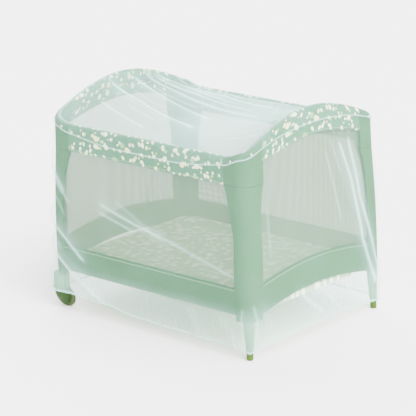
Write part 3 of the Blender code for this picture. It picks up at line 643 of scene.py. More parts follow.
def net_fabric(name, cover, crease_and_highlight_cover):
    """Fine net whose cover rises with the layers of its folds and the painted highlight stored on its points.
    """
    # Polyester tulle, warp-knitted and heat-set: a soft white haze, whiter where creases lay it double and
    # where a highlight is painted into its cover.
    # Its holes are under 1 mm, too fine to show, so they are a share of cover, and its rows of thread are
    # drawn 4 mm apart
    # Its colour's blue-green tint is a painted sky reflection on white thread
    material, tree, shader = new_material(
        name, Base_Color=(*bpy.context.scene.playpen_net.colour, 1.0), Roughness=0.7, Specular_IOR_Level=0.3)
    place = put(tree, "ShaderNodeTexCoord").outputs["UV"]
    rows = put(tree, "ShaderNodeTexWave", {"Vector": place, "Scale": WAVE_SCALE / 0.004, "Distortion": 1.5,
                                           "Detail": 1.0}, bands_direction="X")
    cloud = put(tree, "ShaderNodeTexNoise", {"Vector": place, "Scale": 6.0, "Detail": 3.0})
    thread = put(tree, "ShaderNodeMapRange", {"Value": rows.outputs["Fac"], 3: cover * 0.86, 4: cover * 1.14})
    haze = put(tree, "ShaderNodeMapRange", {"Value": cloud.outputs["Fac"], 1: 0.3, 2: 0.7, 3: 0.82, 4: 1.18})
    even = put(tree, "ShaderNodeMath", {0: thread.outputs[0], 1: haze.outputs[0]}, operation="MULTIPLY")
    painted = put(tree, "ShaderNodeAttribute", attribute_name="layers_and_highlight").outputs["Fac"]
    crease_and_highlight = put(tree, "ShaderNodeMath", {0: painted, 1: crease_and_highlight_cover}, operation="MULTIPLY")
    total = put(tree, "ShaderNodeMath", {0: even.outputs[0], 1: crease_and_highlight.outputs[0]}, operation="ADD",
                use_clamp=True)
    tree.links.new(total.outputs[0], shader.inputs["Alpha"])
    return material


def folded_net():
    """Net laid several times over, as in the hem and the seam."""
    # The same tulle, turned and stitched: a denser haze, with its threads packed close
    # Its colour carries the same painted sky reflection
    material, tree, shader = new_material(
        "Folded_Tulle", Base_Color=(*bpy.context.scene.playpen_net.colour, 1.0), Roughness=0.6, Alpha=0.30)
    place = put(tree, "ShaderNodeTexCoord").outputs["UV"]
    weave_bump(tree, shader, place, 0.003, 0.5)
    return material


def moulded(name, hex_colour, roughness, grain):
    """Injection-moulded polypropylene."""
    material, tree, shader = new_material(name, Roughness=roughness, Specular_IOR_Level=0.15)
    place = put(tree, "ShaderNodeTexCoord").outputs["Object"]
    cloud = put(tree, "ShaderNodeTexNoise", {"Vector": place, "Scale": 40.0, "Detail": 3.0})
    shade = put(tree, "ShaderNodeMapRange", {"Value": cloud.outputs["Fac"], 3: 0.88, 4: 1.10})
    colour = put(tree, "ShaderNodeVectorMath", {0: linear(hex_colour)[:3], "Scale": shade.outputs[0]},
                 operation="SCALE")
    tree.links.new(colour.outputs[0], shader.inputs["Base Color"])
    speck = put(tree, "ShaderNodeTexNoise", {"Vector": place, "Scale": 1 / grain, "Detail": 2.0})
    bump = put(tree, "ShaderNodeBump",
               {"Height": speck.outputs["Fac"], "Strength": 0.15, "Distance": grain / 4})
    tree.links.new(bump.outputs["Normal"], shader.inputs["Normal"])
    return material


def turned_steel():
    """Zinc-plated steel of the axles."""
    # Turned and zinc plated: a satin grey with faint rings
    material, tree, shader = new_material("Zinc_Plated_Steel", Base_Color=linear("#A9ABA8"), Metallic=1.0)
    place = put(tree, "ShaderNodeTexCoord").outputs["Object"]
    scratches = put(tree, "ShaderNodeTexNoise", {"Vector": place, "Scale": 400.0, "Detail": 2.0})
    rough = put(tree, "ShaderNodeMapRange", {"Value": scratches.outputs["Fac"], 3: 0.28, 4: 0.5})
    tree.links.new(rough.outputs[0], shader.inputs["Roughness"])
    return material


# Padded pieces


def rail_outline(low, top):
    """Points across a padded rail as inset and height: outer face, roll over the tube, hanging cover."""
    centre = top - ROLL_RADIUS
    outline = [(0.0035, low), (0.0010, low + 0.0010), (0.0, low + 0.0035)]
    outline += [(0.0, low + 0.0035 + (centre - low - 0.0035) * k / 9) for k in range(1, 9)]
    for k in range(17):
        angle = math.pi * k / 16
        outline.append((ROLL_RADIUS * (1 - math.cos(angle)), centre + ROLL_RADIUS * math.sin(angle)))
    width = 2 * ROLL_RADIUS
    outline += [
        (width, top - ROLL_DEPTH + 0.004),
        (width - 0.002, top - ROLL_DEPTH - 0.001),
        (COVER_THICKNESS + 0.004, top - STEP_DEPTH + 0.002),
        (COVER_THICKNESS, top - STEP_DEPTH - 0.002),
    ]
    outline += [(COVER_THICKNESS, top - STEP_DEPTH - 0.002 + (low + 0.0055 - top + STEP_DEPTH) * k / 4)
                for k in range(1, 5)]
    outline += [(COVER_THICKNESS - 0.001, low + 0.0010), (COVER_THICKNESS - 0.0035, low)]
    return outline


def padded_loop(x, y, out_x, out_y, outline, pucker, seed):
    """Place an outline at a station, its flat face dimpled inwards a little."""
    loop = []
    for inset, height in outline:
        dent = 0.0
        if inset < 0.004:
            dent = pucker * (0.5 + 0.5 * noise.noise(Vector((x * 14, y * 14, height * 26 + seed))))
            dent *= min(1.0, max(0.0, (outline[0][1] + 0.085 - height) / 0.03))
        loop.append((x - (inset + dent) * out_x, y - (inset + dent) * out_y, height))
    return loop


def rail_piece(name, number, first, last, low, material, seed):
    """Padded rail along a side of the rim, between two distances from the side's start."""
    pucker = bpy.context.scene.playpen_padding.pucker
    count = max(8, round((last - first) / 0.012))
    place = stations(number, np.linspace(first, last, count + 1))
    x, y = ring_point(place, 0.0, CORNER_RADIUS)
    rim = station_rim(place)
    lows = low(y) if callable(low) else np.full(x.shape, low)
    loops = [padded_loop(x[k], y[k], place[k, 2], place[k, 3], rail_outline(lows[k], rim[k]), pucker, seed)
             for k in range(len(x))]
    obj = tube_object(name + "_Padding", loops, material, [name])
    return obj


def end_rail_low(y):
    return END_RAIL_LOW + END_RAIL_LOW_RISE * arch(y)


def corner_piece(number, material):
    """Plain padded piece round a corner, from the side before it to the side after."""
    before, after = number, (number + 1) % 4
    reach = (CORNER_PIECE_LONG, CORNER_PIECE_SHORT)
    if number % 2:
        reach = reach[::-1]
    length = SIDES[before][0]
    place = np.concatenate([
        stations(before, np.linspace(length - reach[0], length, 15)[:-1]),
        stations(after, np.linspace(0.0, reach[1], 15)),
    ])
    x, y = ring_point(place, 0.0, CORNER_RADIUS)
    rim = station_rim(place)
    loops = [padded_loop(x[k], y[k], place[k, 2], place[k, 3], rail_outline(LONG_RAIL_LOW, rim[k]), 0.0006, 4)
             for k in range(len(x))]
    obj = tube_object(f"Corner_Padding_{number + 1}", loops, material, [f"Corner_Piece_{number + 1}"])
    return obj


def post_piece(number, side_x, side_y, material):
    """Fabric post: an L that widens towards the rail, rounded outside and chamfered over its tube."""
    arc_x, arc_y = HALF_LENGTH - CORNER_RADIUS, HALF_WIDTH - CORNER_RADIUS
    heights = np.linspace(POST_LOW, LONG_RAIL_LOW - GAP, 44)
    loops = []
    for height in heights:
        long_width = float(table_value(POST_WIDTHS, height, 1))
        short_width = float(table_value(POST_WIDTHS, height, 2))
        inner_x, inner_y = HALF_LENGTH - COVER_THICKNESS, HALF_WIDTH - COVER_THICKNESS
        outline = [(HALF_LENGTH - long_width, HALF_WIDTH - 0.003)]
        outline += [(HALF_LENGTH - long_width + 0.003, HALF_WIDTH)]
        for k in range(1, 4):
            outline.append((HALF_LENGTH - long_width + 0.003
                            + (arc_x - HALF_LENGTH + long_width - 0.003) * k / 4, HALF_WIDTH))
        for k in range(13):
            angle = math.pi / 2 * (1 - k / 12)
            outline.append((arc_x + CORNER_RADIUS * math.cos(angle), arc_y + CORNER_RADIUS * math.sin(angle)))
        for k in range(1, 4):
            outline.append((HALF_LENGTH, arc_y + (HALF_WIDTH - short_width + 0.003 - arc_y) * k / 4))
        outline += [
            (HALF_LENGTH, HALF_WIDTH - short_width + 0.003),
            (HALF_LENGTH - 0.003, HALF_WIDTH - short_width),
            (inner_x, HALF_WIDTH - short_width),
            (inner_x, HALF_WIDTH - POST_CHAMFER),
            (HALF_LENGTH - POST_CHAMFER, inner_y),
            (HALF_LENGTH - long_width, inner_y),
        ]
        loop = []
        for x, y in outline:
            hollow = 0.0011 * (0.5 + 0.5 * noise.noise(Vector((x * 30, y * 30, height * 16 + number * 5))))
            hollow += 0.0016 * math.exp(-((height - POST_LOW) / 0.05) ** 2) * (
                0.5 + 0.5 * noise.noise(Vector((x * 60, y * 60, height * 50 + number))))
            hollow -= 0.0055 * math.sin(math.pi * (height - POST_LOW) / (LONG_RAIL_LOW - POST_LOW))
            back = 1.0 if min(HALF_LENGTH - x, HALF_WIDTH - y) < 0.02 and (x > arc_x or y > arc_y) else 0.0
            away = Vector((x - arc_x, y - arc_y))
            if x < arc_x:
                away = Vector((0.0, 1.0))
            elif y < arc_y:
                away = Vector((1.0, 0.0))
            away = away.normalized() * hollow * back
            loop.append((side_x * (x - away.x), side_y * (y - away.y), height))
        loops.append(loop)
    obj = tube_object(f"Post_Cover_{number}", loops, material, [f"Corner_Post_{number}"])
    return obj


def band_piece(name, number, material):
    """Plain band round the foot of a side, softly filled."""
    length = SIDES[number][0]
    is_end = number % 2 == 1
    reach = POST_AT_BAND_SHORT if is_end else POST_AT_BAND_LONG
    count = round((length - 2 * reach) / 0.014)
    place = stations(number, np.linspace(reach + GAP, length - reach - GAP, count + 1))
    x, y = ring_point(place, 0.0, CORNER_RADIUS)
    loops = []
    for k in range(len(x)):
        low, top = BAND_LOW, BAND_TOP
        if is_end:
            low = END_BAND_LOW + END_BAND_LOW_RISE * float(arch(y[k]))
            top = END_BAND_TOP + END_BAND_TOP_RISE * float(arch(y[k]))
        outline = [(0.0045, low), (0.0018, low + 0.0012)]
        outline += [(0.001, low + 0.004 + (top - low - 0.008) * j / 8) for j in range(9)]
        outline += [(0.0018, top - 0.0012), (0.0045, top), (0.0090, top), (COVER_THICKNESS, top - 0.003)]
        outline += [(COVER_THICKNESS, low + 0.003), (0.0090, low)]
        loops.append(padded_loop(x[k], y[k], place[k, 2], place[k, 3], outline, 0.0014, 9 + number))
    obj = tube_object(name + "_Cover", loops, material, [name])
    return obj


def window_piece(name, number, material):
    """Mesh window stretched behind the covers that it is sewn to, in one layer."""
    is_end = number % 2 == 1
    half = WINDOW_HALF_SHORT if is_end else WINDOW_HALF_LONG
    length = SIDES[number][0]
    place = stations(number, np.linspace(length / 2 - half, length / 2 + half, 49))
    x, y = ring_point(place, 0.0, CORNER_RADIUS)
    low = np.full(x.shape, BAND_TOP - WINDOW_OVERLAP)
    top = np.full(x.shape, LONG_RAIL_LOW + WINDOW_OVERLAP)
    if is_end:
        low = END_BAND_TOP + END_BAND_TOP_RISE * arch(y) - WINDOW_OVERLAP
        top = end_rail_low(y) + WINDOW_OVERLAP
    rows, uv = [], []
    for share in np.linspace(0, 1, 33):
        height = low + share * (top - low)
        bow = 0.0008 * math.sin(math.pi * share) * np.sin(math.pi * np.linspace(0, 1, 49))
        inset = WINDOW_INSET + bow
        rows.append(np.stack([x - inset * place[:, 2], y - inset * place[:, 3], height], axis=-1))
        uv.append(np.stack([place[:, 4] + 2.0, height], axis=-1))
    points = stand_wider(np.array(rows))
    obj = sheet_mesh(name + "_Mesh", points, np.array(uv), material, [name])
    height = float((top - low).max())
    return obj


def mat_piece(material):
    """Padded floor mat, its edges rounded and its corners cut to clear the posts."""
    half_x = HALF_LENGTH - COVER_THICKNESS - GAP
    half_y = HALF_WIDTH - COVER_THICKNESS - GAP
    cut = POST_CHAMFER - COVER_THICKNESS + 3 * GAP
    rows = [(MAT_LOW, 0.0), (MAT_LOW + 0.004, 0.0), (MAT_TOP - 0.008, 0.0), (MAT_TOP - 0.004, 0.0015),
            (MAT_TOP - 0.0015, 0.005), (MAT_TOP - 0.0004, 0.010), (MAT_TOP, 0.018)]
    rows += [(MAT_TOP - 0.0006 + 0.0006 * math.cos(0.5 * k), 0.018 + 0.022 * k) for k in range(1, 15)]
    loops = []
    for height, inset in rows:
        loop = []
        x, y = half_x - inset, half_y - inset
        side = max(0.004, cut - 0.4 * inset)
        corners = []
        for side_x, side_y in CORNERS:
            pair = [(side_x * (x - side), side_y * y), (side_x * x, side_y * (y - side))]
            corners += pair if side_x * side_y < 0 else pair[::-1]
        for k, start in enumerate(corners):
            end = corners[(k + 1) % len(corners)]
            steps = 4 if k % 2 == 0 else 24
            for j in range(steps):
                loop.append((start[0] + (end[0] - start[0]) * j / steps,
                             start[1] + (end[1] - start[1]) * j / steps, height))
        loops.append(loop)
    obj = tube_object("Floor_Mat_Cover", loops, material, ["Floor_Mat"])
    return obj


# Net


def ring_places(spacing):
    """Stations all round the rim, a given distance apart."""
    sides = []
    for number, (length, _, _) in enumerate(SIDES):
        count = round(length / spacing)
        sides.append(stations(number, np.linspace(0, length, count + 1)))
    return sides


def rim_points(place):
    """Rows of the top panel from inside the roll out and down to the seam, and their distance outwards."""
    rim = station_rim(place)
    centre = rim - ROLL_RADIUS
    rows = []
    for degrees in (135, 112, 90, 67, 45, 22, 0):
        angle = math.radians(degrees)
        radius = NET_CREST_RADIUS + (NET_ROLL_RADIUS - NET_CREST_RADIUS) * abs(degrees - 90) / 45
        radius = min(radius, NET_ROLL_RADIUS)
        inset = ROLL_RADIUS - radius * math.cos(angle)
        x, y = ring_point(place, -inset, CORNER_RADIUS - inset)
        rows.append(np.stack([x, y, centre + radius * math.sin(angle)], axis=-1))
    seam = seam_height(place)
    stand_off, radius = (table_value(SKIRT_SECTIONS, seam, column) for column in (1, 2))
    x, y = ring_point(place, stand_off, radius)
    edge = np.stack([x, y, seam], axis=-1)
    last = rows[-1]
    for k in range(1, 8):
        rows.append(last + (edge - last) * k / 7)
    return rows


def top_surface(edges):
    """Grid inside the rails, from its four edges: a saddle between the arches that sags a little, and its
    density from folds, creases and a painted highlight.
    """
    front, right, back, left = edges[0], edges[1], edges[2][::-1], edges[3][::-1]
    v = ((left[:, 1] - left[0, 1]) / (left[-1, 1] - left[0, 1]))[:, None]
    u = ((front[:, 0] - front[0, 0]) / (front[-1, 0] - front[0, 0]))[None, :]
    corner = [edge[:, None, :] for edge in (front[:1], front[-1:], back[:1], back[-1:])]
    u3, v3 = u[..., None], v[..., None]
    corners = ((1 - u3) * (1 - v3) * corner[0] + u3 * (1 - v3) * corner[1]
               + (1 - u3) * v3 * corner[2] + u3 * v3 * corner[3])
    points = ((1 - v3) * front[None] + v3 * back[None] + (1 - u3) * left[:, None] + u3 * right[:, None]
              - corners)
    fade = np.cosh(ARCH_FADE * (2 * u - 1)) / math.cosh(ARCH_FADE)
    long_height = (1 - v) * front[None, :, 2] + v * back[None, :, 2]
    arch_height = (1 - u) * left[:, None, 2] + u * right[:, None, 2] - corners[..., 2]
    sag = NET_SAG * (1 - (2 * u - 1) ** 2) * (1 - (2 * v - 1) ** 2)
    x, y = points[..., 0], points[..., 1]
    inside = np.minimum.reduce([x - left[:, None, 0], right[:, None, 0] - x,
                                y - front[None, :, 1], back[None, :, 1] - y])
    held = smooth_step(inside / TOP_FOLD_FADE)
    broad, dense = fold_sum(x, y, TOP_FOLDS, False)
    fine, sharp = fold_sum(x, y, TOP_CREASES, False)
    points[..., 2] = long_height + fade * arch_height - sag + (broad + fine) * held
    # Painted highlight: the top panel's cover is raised in a broad patch towards the +X end and in a strip
    # near the back, to paint where light catches the net; no extra net lies there
    light = 0.26 * np.exp(-((x - 0.20) / 0.30) ** 2 - ((y + 0.02) / 0.32) ** 2)
    light += 0.14 * np.exp(-((y - 0.24) / 0.12) ** 2) * smooth_step((x + 0.42) / 0.2)
    return points, dense + sharp * (0.35 + 0.65 * held) + light


def net_top(material, spacing):
    sides = ring_places(spacing)
    rows = [rim_points(side) for side in sides]
    grid, inner_density_and_highlight = top_surface([side[0] for side in rows])
    rows_count, columns = grid.shape[:2]
    verts = grid.reshape(-1, 3).tolist()
    uv = (grid[..., :2].reshape(-1, 2)).tolist()
    density = inner_density_and_highlight.reshape(-1).tolist()
    faces = []
    for j in range(rows_count - 1):
        for i in range(columns - 1):
            at = j * columns + i
            faces.append((at, at + 1, at + columns + 1, at + columns))
    border = [i for i in range(columns - 1)]
    border += [j * columns + columns - 1 for j in range(rows_count - 1)]
    border += [(rows_count - 1) * columns + i for i in range(columns - 1, 0, -1)]
    border += [j * columns for j in range(rows_count - 1, 0, -1)]
    inner = border
    for level in range(1, len(rows[0])):
        ring = np.concatenate([side[level][:-1] for side in rows])
        start = len(verts)
        verts += ring.tolist()
        outward = np.concatenate([side[:-1, 2:4] for side in sides]) * (0.006 * level)
        uv += (ring[:, :2] + outward).tolist()
        # Painted highlight along the top of the rails: more cover on the rows over the roll's crest paints a
        # bright band, and the rows further out get less cover
        crest = 0.14 * math.exp(-((level - 1.5) / 1.3) ** 2) - 0.07 * min(1.0, level / 4)
        density += [crest] * len(ring)
        outer = list(range(start, start + len(ring)))
        for k in range(len(inner)):
            near = (k + 1) % len(inner)
            faces.append((inner[k], outer[k], outer[near], inner[near])[::-1])
        inner = outer
    loops_uv = [uv[corner] for face in faces for corner in face]
    obj = finish_mesh("Net_Top_Panel", stand_wider(verts), faces, material, ["Net_Top"], loops_uv, density, 0)
    return obj


def skirt_points(place, share, gather):
    """Points and density of the skirt at shares of its depth below the seam."""
    seam = seam_height(place) - 0.0006
    hem = table_value(HEM_HEIGHTS, place[..., 4], 1)
    height = seam + share * (hem - seam)
    along = place[..., 4]
    broad, dense = fold_sum(along, height, SKIRT_FOLDS, True)
    fine, sharp = fold_sum(along, height, SKIRT_CREASES, True)
    drawn_in = smooth_step((share - 0.72) / 0.28)
    phase = along * (2 * math.pi / 0.021) + 1.7 * np.sin(along * 19.0) + 0.9 * np.sin(along * 47.0 + 1.0)
    ruffle = np.sin(phase) * drawn_in
    out = smooth_step(3 * share) * (broad + fine) + gather * (ruffle + 0.5 * np.sin(0.53 * phase) * drawn_in)
    stand_off, radius = (table_value(SKIRT_SECTIONS, height, column) for column in (1, 2))
    x, y = ring_point(place, stand_off, radius)
    x = x + out * place[..., 2]
    y = y + out * place[..., 3]
    shade = dense + sharp + 0.06 * ruffle + 0.14 * smooth_step((0.22 - height) / 0.08)
    return np.stack([x, y, height + 0.0 * x], axis=-1), shade


def net_skirt(material, spacing, gather):
    sides = ring_places(spacing)
    place = np.concatenate([side[:-1] for side in sides])
    levels = round(0.72 / spacing)
    shares = np.linspace(0, 1, levels + 1)
    points, density = [], []
    for share in shares:
        row, shade = skirt_points(place, share, gather)
        points.append(row)
        density.append(shade)
    points = stand_wider(np.array(points))
    along = np.concatenate([place[:, 4], [place[0, 4] + RIM_LENGTH]])
    uv = np.stack(np.broadcast_arrays(along[None, :], (0.75 * (1 - shares))[:, None]), axis=-1)
    obj = sheet_mesh("Net_Skirt_Panel", points, uv, material, ["Net_Skirt"], np.array(density), closed=True,
                     outward=False)
    return obj


def strip_piece(name, rows, material, place):
    """Narrow strip all round the net, from rows of points."""
    points = stand_wider(np.array(rows))
    along = np.concatenate([place[:, 4], [place[0, 4] + RIM_LENGTH]])
    across = lengths(points, 0)
    uv = np.stack(np.broadcast_arrays(along[None, :], across[:, None]), axis=-1)
    obj = sheet_mesh(name, points, uv, material, [], closed=True, outward=False)
    return obj


def seam_binding(material, spacing, width):
    """Binding over the seam between the top panel and the skirt."""
    place = np.concatenate([side[:-1] for side in ring_places(spacing)])
    seam = seam_height(place)
    rows = []
    for across, proud in ((-0.5, 0.0004), (-0.35, 0.0012), (0.0, 0.0016), (0.35, 0.0012), (0.5, 0.0004)):
        height = seam - across * width
        stand_off, radius = (table_value(SKIRT_SECTIONS, height, column) for column in (1, 2))
        x, y = ring_point(place, stand_off + proud, radius + proud)
        rows.append(np.stack([x, y, height], axis=-1))
    return strip_piece("Net_Seam_Binding", rows, material, place)


def hem_strip(material, spacing, width, gather):
    """Turned hem with its elastic inside: a flattened tube round the skirt's lower edge."""
    place = np.concatenate([side[:-1] for side in ring_places(spacing)])
    hem = table_value(HEM_HEIGHTS, place[:, 4], 1)
    depth = seam_height(place) - 0.0006 - hem
    rows = []
    for up, proud in ((1.0, 0.0004), (0.8, 0.0016), (0.4, 0.0022), (0.1, 0.0018), (0.0, 0.0),
                      (0.1, -0.0012), (0.4, -0.0016), (0.8, -0.0012), (1.0, -0.0002)):
        share = 1 - up * width / depth
        row, _ = skirt_points(place, share, gather)
        row[:, 0] += proud * place[:, 2]
        row[:, 1] += proud * place[:, 3]
        rows.append(row)
    return strip_piece("Net_Hem", rows, material, place)


# Repeats by Geometry Nodes


def stitch_tree(spacing, thickness, material):
    """Tree that lays small stitches along the edges of a mesh."""
    tree = bpy.data.node_groups.new("Stitches", "GeometryNodeTree")
    tree.interface.new_socket("Geometry", in_out="INPUT", socket_type="NodeSocketGeometry")
    for label, value in (("Spacing", spacing), ("Thickness", thickness)):
        socket = tree.interface.new_socket(label, in_out="INPUT", socket_type="NodeSocketFloat")
        socket.default_value = value
    tree.interface.new_socket("Geometry", in_out="OUTPUT", socket_type="NodeSocketGeometry")
    given = put(tree, "NodeGroupInput").outputs
    curve = put(tree, "GeometryNodeMeshToCurve", {"Mesh": given["Geometry"]})
    points = put(tree, "GeometryNodeCurveToPoints", {"Curve": curve.outputs[0], "Length": given["Spacing"]},
                 mode="LENGTH")
    half = put(tree, "ShaderNodeMath", {0: given["Spacing"], 1: 0.62}, operation="MULTIPLY")
    stick = put(tree, "GeometryNodeMeshCylinder", {"Vertices": 6, "Radius": given["Thickness"],
                                                   "Depth": half.outputs[0]})
    turned = put(tree, "FunctionNodeAlignRotationToVector", {"Vector": points.outputs["Tangent"]}, axis="Z")
    placed = put(tree, "GeometryNodeInstanceOnPoints", {
        "Points": points.outputs["Points"], "Instance": stick.outputs["Mesh"], "Rotation": turned.outputs[0]})
    real = put(tree, "GeometryNodeRealizeInstances", {0: placed.outputs[0]})
    finished = put(tree, "GeometryNodeSetMaterial", {"Geometry": real.outputs[0], "Material": material})
    put(tree, "NodeGroupOutput", {0: finished.outputs[0]})
    return tree


def snap_tree(radius, material):
    """Tree that sets a domed snap on each point of a mesh, facing along its normal attribute."""
    tree = bpy.data.node_groups.new("Snaps", "GeometryNodeTree")
    tree.interface.new_socket("Geometry", in_out="INPUT", socket_type="NodeSocketGeometry")
    size = tree.interface.new_socket("Radius", in_out="INPUT", socket_type="NodeSocketFloat")
    size.default_value = radius
    tree.interface.new_socket("Geometry", in_out="OUTPUT", socket_type="NodeSocketGeometry")
    given = put(tree, "NodeGroupInput").outputs
    dome = put(tree, "GeometryNodeMeshUVSphere", {"Segments": 20, "Rings": 10, "Radius": given["Radius"]})
    rim = put(tree, "GeometryNodeMeshCylinder", {"Vertices": 20, "Radius": 1.0, "Depth": 0.2})
    wide = put(tree, "ShaderNodeMath", {0: given["Radius"], 1: 1.25}, operation="MULTIPLY")
    flat = put(tree, "GeometryNodeTransform", {"Geometry": dome.outputs["Mesh"], "Scale": (1.0, 1.0, 0.35)})
    scale = put(tree, "ShaderNodeCombineXYZ", {0: wide.outputs[0], 1: wide.outputs[0], 2: given["Radius"]})
    plate = put(tree, "GeometryNodeTransform", {"Geometry": rim.outputs["Mesh"], "Scale": scale.outputs[0]})
    joined = put(tree, "GeometryNodeJoinGeometry", {0: flat.outputs[0]})
    tree.links.new(plate.outputs[0], joined.inputs[0])
    facing = put(tree, "GeometryNodeInputNamedAttribute", {"Name": "facing"}, data_type="FLOAT_VECTOR")
    turned = put(tree, "FunctionNodeAlignRotationToVector", {"Vector": facing.outputs["Attribute"]}, axis="Z")
    placed = put(tree, "GeometryNodeInstanceOnPoints", {
        "Points": given["Geometry"], "Instance": joined.outputs[0], "Rotation": turned.outputs[0]})
    real = put(tree, "GeometryNodeRealizeInstances", {0: placed.outputs[0]})
    smooth = put(tree, "GeometryNodeSetShadeSmooth", {"Geometry": real.outputs[0]})
    finished = put(tree, "GeometryNodeSetMaterial", {"Geometry": smooth.outputs[0], "Material": material})
    put(tree, "NodeGroupOutput", {0: finished.outputs[0]})
    return tree


def grown(name, mesh, tree, inputs):
    """Run a tree on a guide mesh and keep its result as a plain mesh object."""
    guide = bpy.data.objects.new(name + "_Guide", mesh)
    bpy.context.scene.collection.objects.link(guide)
    modifier = guide.modifiers.new("Grow", "NODES")
    modifier.node_group = tree
    for item in tree.interface.items_tree:
        if item.item_type == "SOCKET" and item.in_out == "INPUT" and item.name in inputs:
            modifier[item.identifier] = inputs[item.name]
    graph = bpy.context.evaluated_depsgraph_get()
    result = bpy.data.meshes.new_from_object(guide.evaluated_get(graph), depsgraph=graph)
    bpy.data.objects.remove(guide)
    obj = bpy.data.objects.new(name, result)
    bpy.context.scene.collection.objects.link(obj)
    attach(obj, BODY)
    return obj


def path_mesh(name, paths):
    """Mesh of plain edges along the given paths."""
    verts, edges = [], []
    for path, closed in paths:
        start = len(verts)
        verts += [tuple(p) for p in path]
        edges += [(start + k, start + k + 1) for k in range(len(path) - 1)]
        if closed:
            edges.append((len(verts) - 1, start))
    mesh = bpy.data.meshes.new(name)
    mesh.from_pydata(verts, edges, [])
    return mesh


# Operators


class PLAYPEN_OT_padding(bpy.types.Operator):
    """Build the printed rails and the plain corner pieces"""

    bl_idname = "playpen.padding"
    bl_label = "Padded rails"

    def execute(self, context):
        printed = padded_print()
        plain = plain_nylon()
        rail_piece("Rail_Front", 0, CORNER_PIECE_LONG + GAP, 1.0 - CORNER_PIECE_LONG - GAP, LONG_RAIL_LOW,
                   printed, 1)
        rail_piece("Rail_Back", 2, CORNER_PIECE_LONG + GAP, 1.0 - CORNER_PIECE_LONG - GAP, LONG_RAIL_LOW,
                   printed, 2)
        rail_piece("Rail_Foot_End", 1, CORNER_PIECE_SHORT + GAP, 0.752 - CORNER_PIECE_SHORT - GAP,
                   end_rail_low, printed, 3)
        rail_piece("Rail_Wheel_End", 3, CORNER_PIECE_SHORT + GAP, 0.752 - CORNER_PIECE_SHORT - GAP,
                   end_rail_low, printed, 4)
        for number in range(4):
            corner_piece(number, plain)
        return {"FINISHED"}


class PLAYPEN_OT_sides(bpy.types.Operator):
    """Build the fabric posts, the bottom bands and the mesh windows"""

    bl_idname = "playpen.sides"
    bl_label = "Posts, bands and windows"

    def execute(self, context):
        plain = bpy.data.materials["Plain_Nylon_Oxford"]
        mesh = mesh_fabric()
        for number, (side_x, side_y) in enumerate(CORNERS, 1):
            post_piece(number, side_x, side_y, plain)
        for number, end in enumerate(("Front", "Foot_End", "Back", "Wheel_End")):
            band_piece("Band_" + end, number, plain)
            window_piece("Window_" + end, number, mesh)
        return {"FINISHED"}


class PLAYPEN_OT_mat(bpy.types.Operator):
    """Build the padded floor mat"""

    bl_idname = "playpen.mat"
    bl_label = "Floor mat"

    def execute(self, context):
        mat_piece(mat_print())
        return {"FINISHED"}


class PLAYPEN_OT_net(bpy.types.Operator):
    """Build the net with its seam and hem"""

    bl_idname = "playpen.net"
    bl_label = "Mosquito net"

    def execute(self, context):
        net = context.scene.playpen_net
        folded = folded_net()
        top = net_top(net_fabric("Fine_Tulle_Top", net.top_cover, 1.5), net.spacing)
        skirt = net_skirt(net_fabric("Fine_Tulle_Skirt", net.side_cover, 1.2), net.spacing, net.gather)
        seam = seam_binding(folded, net.spacing, net.seam_width)
        hem = hem_strip(folded, net.spacing, net.hem_width, net.gather)
        return {"FINISHED"}


class PLAYPEN_OT_trimmings(bpy.types.Operator):
    """Add the stitching and the snaps"""

    bl_idname = "playpen.trimmings"
    bl_label = "Stitches and snaps"

    def execute(self, context):
        spacing = context.scene.playpen_padding.stitch
        # Spun polyester thread, a little paler than the cloth that it holds
        thread = new_material("Spun_Polyester_Thread", Base_Color=linear("#A9C4A6"), Roughness=0.7)[0]
        # Pressed nickel caps: bright and smooth
        nickel = new_material("Pressed_Nickel", Base_Color=linear("#E4E6E0"), Metallic=1.0, Roughness=0.22)[0]
        paths = []
        for number in range(4):
            length = SIDES[number][0]
            reach = CORNER_PIECE_SHORT if number % 2 else CORNER_PIECE_LONG
            place = stations(number, np.linspace(reach + 0.004, length - reach - 0.004, 60))
            x, y = ring_point(place, 0.0006, CORNER_RADIUS)
            low = end_rail_low(y) if number % 2 else np.full(x.shape, LONG_RAIL_LOW)
            paths.append((stand_wider(np.stack([x, y, low + 0.008], axis=-1)), False))
            band_reach = POST_AT_BAND_SHORT if number % 2 else POST_AT_BAND_LONG
            place = stations(number, np.linspace(band_reach + 0.004, length - band_reach - 0.004, 60))
            x, y = ring_point(place, -0.0006, CORNER_RADIUS)
            top = END_BAND_TOP + END_BAND_TOP_RISE * arch(y) if number % 2 else np.full(x.shape, BAND_TOP)
            paths.append((stand_wider(np.stack([x, y, top - 0.008], axis=-1)), False))
        tree = stitch_tree(spacing, 0.0006, thread)
        grown("Cover_Stitches", path_mesh("Cover_Paths", paths), tree, {"Spacing": spacing})
        place = np.concatenate([side[:-1] for side in ring_places(0.012)])
        seam = seam_height(place)
        stand_off, radius = (table_value(SKIRT_SECTIONS, seam, column) for column in (1, 2))
        x, y = ring_point(place, stand_off + 0.002, radius + 0.002)
        path = stand_wider(np.stack([x, y, seam], axis=-1))
        # The same thread in white
        white = new_material("White_Polyester_Thread", Base_Color=linear("#E9EFEA"), Roughness=0.7)[0]
        tree = stitch_tree(spacing, 0.0005, white)
        grown("Net_Stitches", path_mesh("Net_Paths", [(path, True)]), tree, {"Thickness": 0.0004})
        points = stand_wider(np.array([row[:3] for row in SNAPS]))
        mesh = bpy.data.meshes.new("Snap_Points")
        mesh.from_pydata([tuple(p) for p in points], [], [])
        facing = mesh.attributes.new("facing", "FLOAT_VECTOR", "POINT")
        angles = [math.radians(row[3]) for row in SNAPS]
        facing.data.foreach_set("vector", [c for a in angles for c in (math.cos(a), math.sin(a), 0.0)])
        grown("Snap_Caps", mesh, snap_tree(0.0042, nickel), {"Radius": 0.0042})
        return {"FINISHED"}


